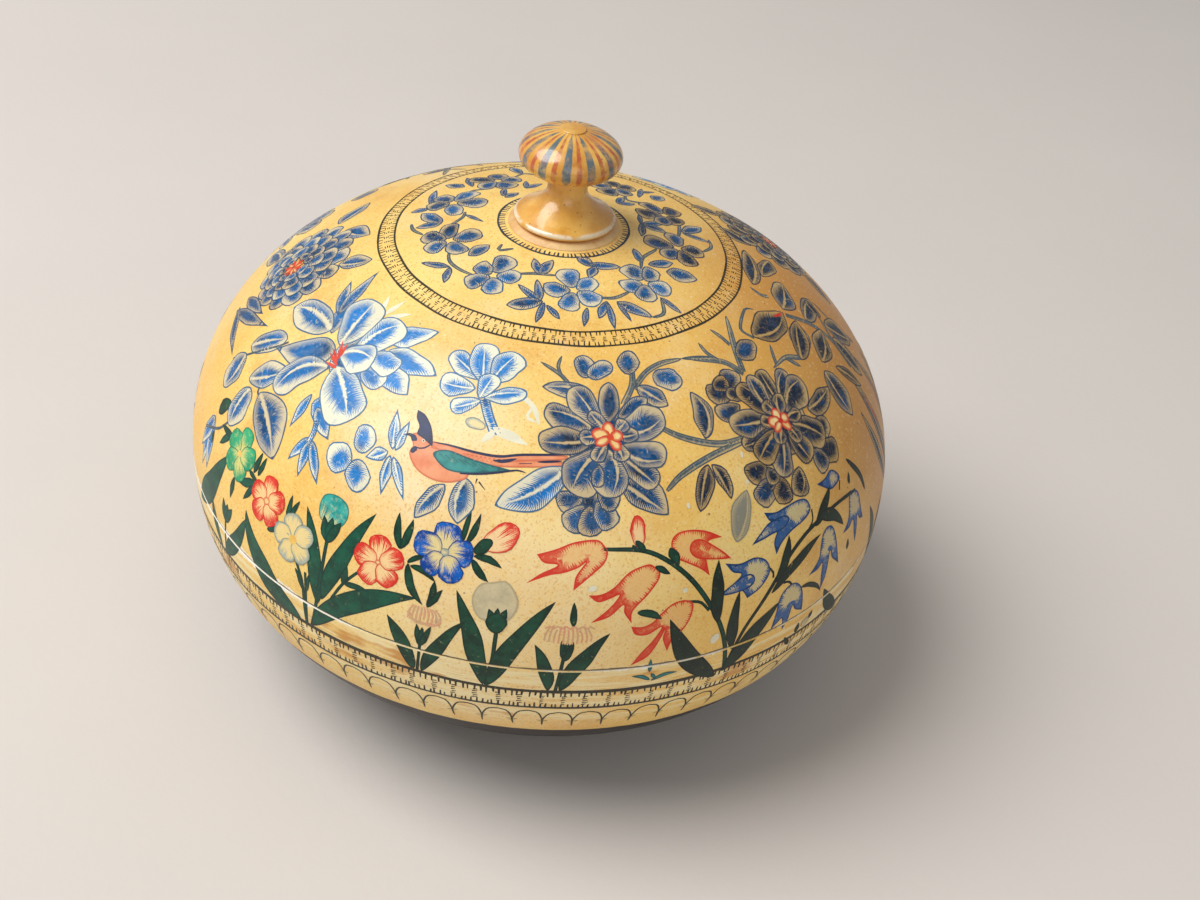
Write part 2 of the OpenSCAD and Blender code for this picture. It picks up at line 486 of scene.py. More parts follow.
def bare_wood():
    sheet = Sheet("bare_wood")
    grain = sheet.noise(260, 4, 0.6, vector=sheet.stretched(1, 7, 1), seed=3)
    colour = sheet.mix(grain.ramp(0.3, 0.7), (160, 116, 70), (206, 166, 112))
    return sheet.finish(colour, 0.62, grain, 0.00012, coat=0.0)


KNOB_COAT = knob_lacquer()
FILLER = bedding()
WOOD = bare_wood()
RIM_ROUND = 0.3
SHELL_STEPS = 96
COAT, DARK, PULP = 0, 1, 2      # material slots of the two shells
SHELL_SLOTS = (GOLD, BLACK_COAT, PAPER)


def rounded(corner, before, after, size):
    """Corner of a profile eased to a short arc between the lines to its two neighbours."""
    c, b, a = (np.array(p[:2], float) for p in (corner, before, after))
    start = c + (b - c) / np.linalg.norm(b - c) * size
    end = c + (a - c) / np.linalg.norm(a - c) * size
    return [tuple(float(v) for v in bezier(start, c, end, i / 4)) for i in range(5)]


def height_at(r, rx, rz, n):
    return rz * (1 - (r / rx) ** n) ** (1 / n)


def marked(points, slot=0):
    """Profile points, each with the slot of the material that starts there."""
    return [(r, z, slot) for r, z in points]


def build_lid():
    crown_in = LID_H - WALL
    flat_in = height_at(WASHER_R, INNER_R, crown_in, LID_FULL)
    rebate = SEAM_Z + (COLLAR_TOP - SEAM_Z) + 2 * LID_GAP
    outside = lid_curve(CROWN_FLAT_Z - SEAM_Z, SHELL_STEPS)
    inside = [(r, SEAM_Z + h) for r, h in
              curve_points(INNER_R, crown_in, LID_FULL, rebate - SEAM_Z, flat_in, SHELL_STEPS)]
    outer_rim = rounded((BODY_R, SEAM_Z), outside[-2], (INNER_R, SEAM_Z), RIM_ROUND)
    inner_rim = rounded((INNER_R, SEAM_Z), (BODY_R, SEAM_Z), (INNER_R, rebate), RIM_ROUND)
    points = marked([(BORE_R, CROWN_FLAT_Z)] + outside[:-1] + outer_rim[:-1], COAT)
    points += marked(outer_rim[-1:] + inner_rim + [(INNER_R, rebate)], PULP)
    points += marked(inside + [(BORE_R, SEAM_Z + flat_in)], DARK)
    lid = revolve("lid_painted", points, SHELL_SLOTS)
    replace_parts(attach(lid, "lid"), "lid_shell")


def build_bowl():
    inside_deep = BOWL_DEEP - WALL
    floor_z = WALL + FOOT_DISH
    dish_r = BASE_R - FOOT_RING_W - FOOT_DISH
    outside = bowl_curve(SHELL_STEPS)
    inside = [(r, SEAM_Z - h) for r, h in
              curve_points(INNER_R, inside_deep, BOWL_FULL, SEAM_Z - COLLAR_LOW, SEAM_Z - floor_z,
                           SHELL_STEPS)][::-1]
    rim = rounded((BODY_R, SEAM_Z), (INNER_R, SEAM_Z), outside[1], RIM_ROUND)
    foot = rounded((BASE_R, 0), outside[-2], (0, 0), 1.2)
    ring = rounded((BASE_R - FOOT_RING_W, 0), (BASE_R, 0), (dish_r, FOOT_DISH), 0.6)
    points = marked([(INNER_R, SEAM_Z)], PULP) + marked(rim + outside[1:-1], COAT)
    points += marked(foot + ring + [(dish_r, FOOT_DISH), (0, FOOT_DISH), (0, floor_z)] + inside, DARK)
    points += marked([(INNER_R, COLLAR_LOW)], PULP)
    bowl = revolve("bowl_painted", points, SHELL_SLOTS)
    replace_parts(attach(bowl, "bowl"), "bowl_shell")


def build_collar():
    pulp, dark = 0, 1
    guide = INNER_R - LID_GAP
    inner = INNER_R - COLLAR_T
    step_z = SEAM_Z - LID_GAP
    lead = rounded((guide, COLLAR_TOP), (guide, step_z), (guide - COLLAR_T, COLLAR_TOP), 0.8)
    points = marked([(inner, COLLAR_LOW)], dark)
    points += marked([(INNER_R, COLLAR_LOW), (INNER_R, step_z), (guide, step_z)] + lead, pulp)
    points += marked(rounded((inner, COLLAR_TOP), (guide, COLLAR_TOP), (inner, COLLAR_LOW), 0.4), dark)
    collar = revolve("collar_ring", points, (PAPER, BLACK_COAT))
    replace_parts(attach(collar, "bowl"), "bowl_collar")


def build_seat():
    step_r = PLUG_R + 0.2
    edge_z = CROWN_FLAT_Z + 0.25
    points = [(BORE_R, CROWN_FLAT_Z), (BORE_R, SEAT_TOP), (step_r, SEAT_TOP)]
    points += rounded((step_r + 0.5, SEAT_TOP - 0.05), (step_r, SEAT_TOP), (SEAT_R, edge_z), 0.4)
    points += rounded((SEAT_R, edge_z), (step_r, SEAT_TOP), (SEAT_R, CROWN_FLAT_Z), 0.2)
    points += [(SEAT_R, CROWN_FLAT_Z)]
    seat = revolve("bedding_ring", marked(points[::-1]), (FILLER,), 192)
    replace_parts(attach(seat, "lid"), "knob_seat")


def build_knob():
    flare_z = RIM_Z + RIM_T
    cap_z = flare_z + FLARE_H + NECK_H + UNDER_H
    bevel = 0.3
    cap_steps, under_steps, flare_steps = 40, 30, 40
    points = [(0, KNOB_TOP)]
    crown = height_at(BUTTON_R, CAP_R, CAP_H, CAP_FULL)
    points += rounded((BUTTON_R, KNOB_TOP), (0, KNOB_TOP), (BUTTON_R, KNOB_TOP - BUTTON_H), 0.22)
    points += [(r, cap_z + h) for r, h in curve_points(CAP_R, CAP_H, CAP_FULL, 0, crown, cap_steps)][::-1]
    for i in range(1, under_steps + 1):
        a = math.radians(90 * i / under_steps)
        points.append((NECK_R + (CAP_R - NECK_R) * math.cos(a), cap_z - UNDER_H * math.sin(a)))
    for i in range(flare_steps, -1, -1):
        s = i / flare_steps
        points.append((NECK_R + (RIM_R - bevel - NECK_R) * (1 - s) ** FLARE_POWER, flare_z + FLARE_H * s))
    points += rounded((RIM_R, flare_z - bevel), (RIM_R - bevel, flare_z), (RIM_R, RIM_Z), 0.25)
    points += rounded((RIM_R, RIM_Z), (RIM_R, flare_z), (PLUG_R, RIM_Z), 0.3)
    points += [(PLUG_R, RIM_Z), (PLUG_R, SEAT_TOP), (TENON_R, SEAT_TOP)]
    points += rounded((TENON_R, TENON_END), (TENON_R, SEAT_TOP), (0, TENON_END), 0.4) + [(0, TENON_END)]
    knob = revolve("knob_painted", marked(points), (KNOB_COAT,), 192, closed=False)
    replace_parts(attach(knob, "lid"), "knob_turning")


def build_washer():
    points = [(BORE_R, WASHER_TOP), (WASHER_R, WASHER_TOP)]
    points += rounded((WASHER_R, WASHER_LOW), (WASHER_R, WASHER_TOP), (BORE_R, WASHER_LOW), 0.6)
    points += [(BORE_R, WASHER_LOW)]
    washer = revolve("washer_disc", marked(points), (WOOD,), 144)
    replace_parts(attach(washer, "lid"), "knob_washer")


build_lid()
build_bowl()
build_collar()
build_seat()
build_knob()
build_washer()


# Painted shapes are thin patches that follow the body's curve. Each is drawn in local millimetres:
# x to the right round the body and y up towards the crown, from a centre at (phi, s).
CUT_GAP = 0.3           # above the seam, where the crack's painted shadow shows
RUBBED_GAP = 0.30       # below the seam, where the paint of the bowl has rubbed off its edge
FIRST_LIFT = 0.02       # height of the first layer of paint over the lacquer
LAYER_LIFT = 0.003      # and of each further layer over the one before
PAINT_ROUGH = 0.45
PAINT_COAT = 0.08
SHELL_BUMP = 0.00012
GRID = 0.9              # spacing of a patch's inner points
MAP_PAD = 0.35          # room between two patches on the bake map
UPPER_S, LOWER_S = 12.0, 165.0      # how near the crown's bore and the foot paint may reach
ATTRIBUTES = ("edge", "hatch", "along", "across", "broad", "random", "tone", "rib")


def polyline_distance(points, line):
    """Distance from each point to a closed line and how far round the line the nearest place is."""
    a = line
    b = np.roll(line, -1, axis=0)
    ab = b - a
    length = np.hypot(ab[:, 0], ab[:, 1]) + 1e-9
    run = np.concatenate([[0], np.cumsum(length)[:-1]])
    ap = points[:, None, :] - a[None]
    t = np.clip((ap * ab[None]).sum(-1) / length ** 2, 0, 1)
    gap = ap - ab[None] * t[..., None]
    d = np.hypot(gap[..., 0], gap[..., 1])
    k = d.argmin(1)
    rows = np.arange(len(points))
    return d[rows, k], run[k] + t[rows, k] * length[k]


def well_inside(points, line, margin):
    """Those of the points that lie inside a closed line and further than a margin from it."""
    x, y = points[:, 0:1], points[:, 1:2]
    x1, y1 = line[:, 0], line[:, 1]
    x2, y2 = np.roll(x1, -1), np.roll(y1, -1)
    crosses = ((y1 > y) != (y2 > y)) & (x < (x2 - x1) * (y - y1) / (y2 - y1 + 1e-12) + x1)
    distance, _ = polyline_distance(points, line)
    return points[(crosses.sum(1) % 2 == 1) & (distance > margin)]


def bent_axis(base, tip, bend, count=24):
    """Quadratic line from base to tip, bowed to its left by bend times its length."""
    base, tip = np.array(base, float), np.array(tip, float)
    run = tip - base
    middle = (base + tip) / 2 + np.array([-run[1], run[0]]) * bend * 2
    return bezier(base, middle, tip, np.linspace(0, 1, count + 1)[:, None])


def normals_of(line):
    step = np.gradient(line, axis=0)
    step /= np.hypot(step[:, 0], step[:, 1])[:, None] + 1e-9
    return np.stack([-step[:, 1], step[:, 0]], -1)


class Painting:
    """One mesh of painted patches round a centre on the body."""

    def __init__(self, name, phi, s):
        self.name, self.phi, self.s = name, math.radians(phi), s
        self.layer, self.materials = 0, []
        # one array for each patch, and its first point and number of points
        self.points, self.flats, self.values, self.spans = [], [], [], []
        self.faces, self.slots = [], []

    def count(self):
        return sum(len(p) for p in self.points)

    def add(self, flat, faces, material, *values):
        """Lays a flat patch on the body; a value is one number or a row of them, in ATTRIBUTES' order."""
        s = np.clip(self.s - flat[:, 1], UPPER_S, LOWER_S)
        start, rows = self.count(), len(flat)
        lift = FIRST_LIFT + LAYER_LIFT * self.layer
        self.points.append(on_body(self.phi + flat[:, 0] / radius_at(s), s, lift))
        self.flats.append(flat)
        self.values.append(np.stack([np.broadcast_to(v, rows) for v in values], -1))
        self.spans.append((start, rows))
        if material not in self.materials:
            self.materials.append(material)
        self.faces += [[start + i for i in face] for face in faces]
        self.slots += [self.materials.index(material)] * len(faces)

    def fill(self, outline, axis, material, tone=0.5, rib=0.0):
        """Patch inside a closed outline; axis is its line from base to tip."""
        low, high = outline.min(0), outline.max(0)
        jitter = random.Random(len(self.points) * 7 + 3)
        xs = np.arange(low[0] + GRID / 2, high[0], GRID)
        ys = np.arange(low[1] + GRID / 2, high[1], GRID * 0.87)
        grid = np.array([(x + (k % 2) * GRID / 2 + jitter.uniform(-0.1, 0.1), y)
                         for k, y in enumerate(ys) for x in xs]).reshape(-1, 2)
        middle = axis[2:-2:2]
        if len(grid):
            grid = well_inside(grid, outline, 0.35)
        if len(grid):
            grid = grid[np.hypot(*(grid[:, None] - middle[None]).transpose(2, 0, 1)).min(1) > 0.4]
        every = np.concatenate([outline, grid, well_inside(middle, outline, 0.3)])
        verts, _, faces, *_ = delaunay_2d_cdt(
            [Vector(p) for p in every], [], [list(range(len(outline)))], 1, 1e-5)
        flat = np.array([tuple(v) for v in verts]).reshape(-1, 2)
        edge, hatch = polyline_distance(flat, outline)
        # nearest place on the axis, for the distance along it and the signed distance across it
        gap = flat[:, None] - axis[None]
        k = np.hypot(gap[..., 0], gap[..., 1]).argmin(1)
        across = (gap[np.arange(len(flat)), k] * normals_of(axis)[k]).sum(1)
        self.add(flat, faces, material, edge, hatch, k / (len(axis) - 1), across, edge.max() * 2,
                 jitter.random(), tone, rib)
        self.layer += 1

    def blade(self, base, tip, width, material, near=0.8, far=0.5, bend=0.0, tone=0.5, rib=0.0):
        """Petal, leaf or bud on a bent axis; near and far say how blunt its two ends are."""
        length = math.hypot(tip[0] - base[0], tip[1] - base[1])
        count = max(8, int(length / 0.7))
        axis = bent_axis(base, tip, bend, max(24, count))
        u = (1 - np.cos(np.linspace(0, math.pi, count + 1))) / 2
        peak = near / (near + far)
        top = peak ** near * (1 - peak) ** far
        half = width / 2 * u ** near * (1 - u) ** far / top
        line = np.stack([np.interp(u, np.linspace(0, 1, len(axis)), axis[:, i]) for i in (0, 1)], -1)
        side = normals_of(line)
        hand = random.Random(len(self.points) * 13 + 1)
        waves = [1 + 0.09 * np.sin(u * hand.uniform(6, 12) + hand.uniform(0, 6)) for _ in range(2)]
        left = line + side * (half * waves[0])[:, None]
        right = line - side * (half * waves[1])[:, None]
        self.fill(np.concatenate([left, right[-2:0:-1]]), axis, material, tone, rib)

    def stroke(self, points, width, material, taper=(1.0, 1.0), tone=0.5, sharp=False):
        """Brush line through a few points, width given in the middle, taper at its two ends."""
        points = np.array(points, float)
        if len(points) > 2 and not sharp:
            points = through(points)
        run = run_along(points)
        count = max(1, int(run[-1] / 0.8))
        at = np.linspace(0, run[-1], count + 1)
        line = np.stack([np.interp(at, run, points[:, i]) for i in (0, 1)], -1)
        side = normals_of(line) if count > 1 else np.repeat(normals_of(line[[0, 1]])[:1], 2, 0)
        t = at / run[-1]
        if count > 2:
            swell = np.sin(math.pi * t) ** 0.5
            ends = np.where(t < 0.5, taper[0], taper[1])
            half = width / 2 * (ends + (1 - ends) * swell)
        else:
            half = width / 2 * np.interp(t, [0, 1], taper)
        flat = np.concatenate([line + side * half[:, None], line, line - side * half[:, None]])
        n = len(line)
        faces = [[low + n + i, low + n + i + 1, low + i + 1, low + i] for low in (0,
                                                                                  n) for i in range(n - 1)]
        none = half * 0
        edge, across = np.concatenate([none, half, none]), np.concatenate([half, none, -half])
        own = random.Random(self.count() + 11).random()
        self.add(flat, faces, material, edge, np.tile(at, 3), np.tile(t, 3), across, width, own, tone, 0.0)

    def bake_map(self):
        """Rows of patches laid side by side on a square map, so that each bakes at the same scale."""
        flats = np.concatenate(self.flats)
        boxes = []
        for start, count in self.spans:
            part = flats[start:start + count]
            low, size = part.min(0), np.ptp(part, axis=0)
            turned = size[1] > size[0]
            if turned:
                size = size[::-1]
            boxes.append((size[1], size[0], start, count, low, turned))
        boxes.sort(key=lambda b: (-b[0], b[2]))
        area = sum((b[0] + MAP_PAD) * (b[1] + MAP_PAD) for b in boxes)
        side = max(math.sqrt(area) * 1.02, max(b[1] for b in boxes) + MAP_PAD)
        while True:
            x = y = row = 0.0
            spots = []
            for h, w, *_ in boxes:
                if x + w + MAP_PAD > side:
                    x, y, row = 0.0, y + row, 0.0
                row = max(row, h + MAP_PAD)
                spots.append((x + MAP_PAD / 2, y + MAP_PAD / 2))
                x += w + MAP_PAD
            if y + row <= side:
                break
            side *= 1.03
        uv = np.zeros_like(flats)
        for (_, _, start, count, low, turned), spot in zip(boxes, spots):
            part = flats[start:start + count] - low
            uv[start:start + count] = (part[:, ::-1] if turned else part) + spot
        return uv / side

    def new_mesh(self, name):
        mesh = bpy.data.meshes.new(name)
        for m in self.materials:
            mesh.materials.append(m)
        return mesh

    def build(self):
        """Turns the patches into a mesh, cut at the seam when they cross it."""
        points = np.concatenate(self.points)
        values = np.concatenate(self.values)
        mesh = self.new_mesh(self.name)
        mesh.from_pydata(points.tolist(), [], self.faces)
        mesh.polygons.foreach_set("material_index", self.slots)
        for i, key in enumerate(ATTRIBUTES):
            column = mesh.attributes.new(key, "FLOAT", "POINT")
            column.data.foreach_set("value", values[:, i].astype(np.float32))
        layer = mesh.uv_layers.new(name="OFBake")
        loops = np.zeros(len(mesh.loops), np.int32)
        mesh.loops.foreach_get("vertex_index", loops)
        layer.uv.foreach_set("vector", self.bake_map()[loops].astype(np.float32).ravel())
        mesh.update()
        if not faces_out(mesh.polygons[0]):
            mesh.flip_normals()
        mesh.shade_smooth()
        if points[:, 2].min() > SEAM_Z * MM:
            return self.finish(mesh, "lid")
        if points[:, 2].max() < SEAM_Z * MM:
            return self.finish(mesh, "bowl")
        for body, sign, gap in (("lid", 1, CUT_GAP), ("bowl", -1, RUBBED_GAP)):
            part = bmesh.new()
            part.from_mesh(mesh)
            bmesh.ops.bisect_plane(part, geom=part.verts[:] + part.edges[:] + part.faces[:], dist=1e-7,
                                   plane_co=(0, 0, (SEAM_Z + sign * gap) * MM), plane_no=(0, 0, sign),
                                   clear_inner=True)
            half = self.new_mesh(f"{self.name}_{body}")
            part.to_mesh(half)
            part.free()
            half.shade_smooth()
            if len(half.polygons):
                self.finish(half, body)
        bpy.data.meshes.remove(mesh)

    def finish(self, mesh, body):
        obj = link(mesh, mesh.name)
        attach(obj, body)


def faces_out(face):
    return face.normal.dot(face.center - Vector((0, 0, 0.03))) > 0


def through(points, per=8):
    """Smooth line through the given points."""
    p = np.concatenate([[2 * points[0] - points[1]], points, [2 * points[-1] - points[-2]]])
    rows = []
    for i in range(1, len(p) - 2):
        for k in range(per):
            t = k / per
            rows.append(0.5 * ((2 * p[i]) + (p[i + 1] - p[i - 1]) * t
                               + (2 * p[i - 1] - 5 * p[i] + 4 * p[i + 1] - p[i + 2]) * t ** 2
                               + (3 * p[i] - p[i - 1] - 3 * p[i + 1] + p[i + 2]) * t ** 3))
    rows.append(p[-2])
    return np.array(rows)


def sketch(points):
    """Closed outline; a point with a third value is a sharp tip, the rest are passed smoothly."""
    first = next(i for i, p in enumerate(points) if len(p) > 2)
    line, run = [], []
    for p in points[first:] + points[:first] + [points[first]]:
        run.append(p[:2])
        if len(p) > 2 and len(run) > 1:
            part = np.array(run, float)
            line += list((through(part, 6) if len(part) > 2 else part)[:-1])
            run = [p[:2]]
    return np.array(line)


def lanes(sheet, lane, own):
    """A random number for each lane of brush strokes, and how far from its lane's middle a place lies."""
    index = sheet("CombineXYZ", {0: sheet.math("FLOOR", lane), 1: own})
    dice = sheet("TexWhiteNoise", {"Vector": index}, "Value", noise_dimensions="2D")
    return dice, abs(sheet.math("FRACT", lane) - 0.5)


def edge_line(sheet, edge, waver, least, outer, inner):
    """Mask of the thin line round a patch, whose width wavers."""
    thin = sheet.noise(500, 2, 0.5, seed=9).scaled(waver, least)
    return (edge - thin).ramp(outer, inner)


def varnished(sheet, colour, shine):
    """Paint that shines and waves like the lacquer it lies on."""
    return sheet.finish(colour, PAINT_ROUGH, shell_height(sheet), SHELL_BUMP, coat=PAINT_COAT, spec=shine)


def hatched(name, line, pale, core, pale_light, core_light, pitch=0.48, wide=1.0, fill=0.85):
    """Patch shaded like miniature painting: thin outline, bare margin, short strokes that fuse to a core."""
    sheet = Sheet(name)
    edge, hatch, along, across, broad, own, tone, rib = sheet.attributes(*ATTRIBUTES)
    wobble = sheet.noise(900, 2, 0.5, seed=2).scaled(0.5, -0.25) * 0.4
    # strokes lean from the edge towards the root, on both sides of the middle
    lean = sheet.math("SIGN", across) * (edge * 0.9)
    dice, middle = lanes(sheet, (hatch + lean + wobble) / pitch, own)
    # margin grows towards the tip, on the lit side of the patch and in the pale flowers
    turn = sheet.math("SIGN", own - 0.5)
    lit = (across * turn / broad.at_least(1.0)).ramp(-0.16, 0.30, 0.3, 1.9)
    grow = sheet.math("POWER", along, 2.2).scaled(0.14, 0.024)
    capped = broad.at_most(8.0)
    margin = capped * (grow * lit) * tone.scaled(1.5 * wide, 0.75 * wide) * dice.scaled(0.8, 0.6)
    # a stroke starts thin at the margin and widens until it meets its neighbours, slower in a broad patch
    past = (edge - margin) / capped.scaled(0.24, 0.35)
    width = past.ramp(-0.25, 0.95, 0.0, 0.60, smooth=False)
    stroke = (width - middle).ramp(-0.06, 0.06)
    # bare midrib, bowed to one side like the fold of a cupped petal
    bow = sheet.math("SINE", along * math.pi) * 0.55 * (broad * (own - 0.5))
    vein = abs(across + bow + wobble)
    vein_w = rib * along.ramp(0.95, 0.35, 0.1, 0.85) * dice.scaled(0.9, 0.35)
    bare = (vein - vein_w).ramp(0.12, -0.06) * rib.ramp(0.0, 0.05)
    stroke = stroke * (1.0 - bare)
    # dry brush drag along the strokes
    drag = sheet("CombineXYZ", {0: hatch * 3.2, 1: edge * 0.9, 2: own * 40.0})
    stroke = stroke * sheet.noise(1.0, 3, 0.6, vector=drag).ramp(0.30, 0.46, 1 - fill, 1.0)
    bright = sheet.math("ADD", tone, sheet.noise(230, 3, 0.6, seed=5).scaled(1.1, -0.6), clamp=True)
    core_now = sheet.mix(bright * along.ramp(0.0, 0.4, 0.35, 1.0), core, core_light)
    pale_now = sheet.mix(tone, pale, pale_light)
    blot = sheet.noise(700, 3, 0.7, seed=15).ramp(0.5, 0.8)
    pale_now = sheet.mix(blot * 0.25, pale_now, core_now)
    colour = sheet.mix(stroke, pale_now, core_now)
    line_now = sheet.mix(tone * 0.8, core, line)
    colour = sheet.mix(edge_line(sheet, edge, 0.26, 0.12, 0.06, -0.03) * 0.92, colour, line_now)
    return varnished(sheet, colour, 0.26)


def rimmed(name, line, pale, mark, tip_reach=1.6, root_reach=0.85):
    """Bell flower drawn in line: pale body, strokes run in from the edge and close up towards the tips."""
    sheet = Sheet(name)
    edge, hatch, along, own = sheet.attributes("edge", "hatch", "along", "random")
    dice, middle = lanes(sheet, hatch / 0.46, own)
    reach = along.ramp(0.35, 0.80).scaled(tip_reach, root_reach) * dice.scaled(0.9, 0.5)
    width = (reach - edge).ramp(-0.1, 0.8, 0.0, 0.55, smooth=False)
    stroke = (width - middle).ramp(-0.06, 0.06)
    stroke = stroke * sheet.noise(1000, 3, 0.7, seed=7).ramp(0.30, 0.50, 0.65, 1.0)
    ground = sheet.mix(0.55, gold(sheet), pale)
    colour = sheet.mix(stroke * 0.95, ground, mark)
    colour = sheet.mix(edge_line(sheet, edge, 0.26, 0.16, 0.08, -0.04) * 0.9, colour, line)
    return varnished(sheet, colour, 0.32)


def rayed(name, line, pale, mark, deep, reach=0.5):
    """Petal of the small flowers: pale at its root, fine rays that thicken to full colour at its tip."""
    sheet = Sheet(name)
    edge, along, across, own = sheet.attributes("edge", "along", "across", "random")
    fan = across / along.scaled(0.75, 0.3)
    lane = fan.scaled(2.6, own * 20.0) + sheet.noise(700, 2, 0.5, seed=12) * 0.7
    dice, middle = lanes(sheet, lane, own)
    start = dice.scaled(0.34, reach - 0.22) + own.scaled(0.3, -0.15)
    width = (along - start).ramp(0.0, 0.34, 0.0, 0.58, smooth=False)
    stroke = (width - middle).ramp(-0.08, 0.08)
    side = (edge - dice * 0.3).ramp(0.5, 0.15)
    stroke = stroke.at_least(side * along.ramp(0.1, 0.5, 0.2, 1.0))
    stroke = stroke * sheet.noise(1100, 3, 0.7, seed=17).ramp(0.30, 0.50, 0.55, 1.0)
    paint = sheet.mix(sheet.noise(320, 3, 0.6, seed=18).ramp(0.40, 0.62), mark, deep)
    colour = sheet.mix(stroke, sheet.mix(0.6, gold(sheet), pale), paint)
    colour = sheet.mix(edge_line(sheet, edge, 0.22, 0.06, 0.07, -0.03) * 0.9, colour, line)
    return varnished(sheet, colour, 0.26)


def flat_paint(name, shade, other, edge_shade=None, thin=0.0):
    """Even body colour with brush drag, thinner where worn; thin lets the ground show through."""
    sheet = Sheet(name)
    colour = sheet.mix(sheet.noise(330, 4, 0.65, seed=3).ramp(0.35, 0.65), shade, other)
    if edge_shade:
        edge, = sheet.attributes("edge")
        colour = sheet.mix(edge.ramp(0.45, 0.12) * 0.8, colour, edge_shade)
    worn = sheet.noise(900, 4, 0.75, seed=13).ramp(0.60, 0.74, 0.0, 0.45)
    colour = sheet.mix(sheet.math("ADD", worn, thin, clamp=True), colour, gold(sheet))
    return varnished(sheet, colour, 0.32)


NAVY, COBALT = (4, 34, 60), (0, 126, 204)
LINE_BLUE = (24, 112, 168)
BLUE = hatched("blue_petals", LINE_BLUE, (192, 156, 94), NAVY, (238, 236, 208), COBALT)
RED = rayed("red_petals", (206, 40, 30), (250, 212, 160), (228, 66, 50), (214, 44, 34))
RED_BELL = rimmed("red_bells", (216, 50, 30), (236, 176, 108), (220, 64, 38))
BLUE_BELL = rimmed("blue_bells", (0, 56, 108), (188, 190, 160), (0, 84, 148), 4.0, 1.0)
BRIGHT = rayed("cobalt_petals", (0, 54, 124), (226, 216, 150), (0, 96, 190), (0, 64, 146), 0.42)
GREY = rayed("grey_petals", (128, 140, 130), (234, 216, 156), (176, 182, 164), (150, 164, 156), 0.75)
GREEN = flat_paint("green_leaves", (18, 78, 54), (16, 50, 36), (12, 40, 32))
LIT_GREEN = flat_paint("lit_green_leaves", (14, 90, 66), (14, 62, 48), (12, 48, 42))
TEAL = flat_paint("teal_paint", (64, 150, 144), (44, 118, 116), (28, 76, 84))
INK_LINE = flat_paint("ink_lines", (30, 32, 26), (52, 46, 34), thin=0.02)
STEM = hatched("blue_grey_stems", (48, 92, 116), (196, 160, 96), (54, 70, 78), (214, 196, 150),
               (60, 104, 130), pitch=0.34, wide=1.6)
WHITE = flat_paint("white_strokes", (240, 236, 206), (226, 222, 196), thin=0.05)
SALMON = flat_paint("salmon_paint", (240, 160, 116), (228, 134, 92), (206, 104, 70))
CRIMSON = flat_paint("crimson_paint", (204, 42, 28), (220, 74, 44))
YOLK = flat_paint("yolk_paint", (248, 222, 160), (240, 196, 120), (206, 70, 50))


ROUND, LEAFY, POINTED, BUD = (0.75, 0.42), (0.75, 0.85), (0.8, 1.2), (0.5, 0.5)


def closed(points):
    """Smooth closed outline through a few points."""
    p = np.array(points, float)
    line = through(np.concatenate([p[-2:], p, p[:2]]))
    return line[16:16 + 8 * len(p)]


def petals(p, rows, material, tone, ends=ROUND, rib=0.0, spread=0.08):
    """Blades given as (base, tip, width); each varies a little in tone."""
    for k, (base, tip, width) in enumerate(rows):
        shade = min(1.0, max(0.0, tone + spread * math.sin(k * 2.4)))
        p.blade(base, tip, width, material, *ends, tone=shade, rib=rib)


HEART_LOBES = ((96, 1.22, 0.82), (165, 1.42, 1.0), (206, 1.28, 0.62), (302, 1.22, 0.68), (6, 0.98, 0.82))


def heart(p, centre, size):
    """Cream lobes edged in red, unequal in turn, reach and width, round a red spot in a large flower."""
    x, y = centre
    for turn, reach, wide in HEART_LOBES:
        a = math.radians(turn)
        across, up = size * math.cos(a), size * math.sin(a)
        p.blade((x, y), (x + (reach + 0.1) * across, y + (reach + 0.1) * up),
                       size * (wide + 0.2), CRIMSON, *BUD)
        p.blade((x + 0.12 * across, y + 0.12 * up), (x + reach * across, y + reach * up),
                       size * wide, YOLK, *BUD)
    p.blade((x - 0.3 * size, y), (x + 0.3 * size, y), size * 0.45, CRIMSON, *BUD)


def dark_middle(p, centre, wide, high, tone):
    """Ground of blue under the petals' roots."""
    a = np.linspace(0, 2 * math.pi, 20, endpoint=False)
    ring = np.stack([centre[0] + wide * np.cos(a), centre[1] + high * np.sin(a)], -1)
    p.fill(ring, bent_axis(centre, (centre[0] + wide, centre[1]), 0), BLUE, tone=tone)


def inner_petals(p, centre, reach, width, count, tone, seed):
    """Small folded petals that stand round the stamens."""
    hand = random.Random(seed)
    for k in range(count):
        a = 2 * math.pi * (k + hand.uniform(-0.2, 0.2)) / count + seed
        far = reach * hand.uniform(0.85, 1.15)
        tip = (centre[0] + far * math.cos(a), centre[1] + far * math.sin(a))
        near = (centre[0] + 1.2 * math.cos(a), centre[1] + 1.2 * math.sin(a))
        p.blade(near, tip, width * hand.uniform(0.9, 1.1), BLUE, *ROUND, bend=hand.uniform(-0.1, 0.1),
                       tone=tone, rib=0.3)


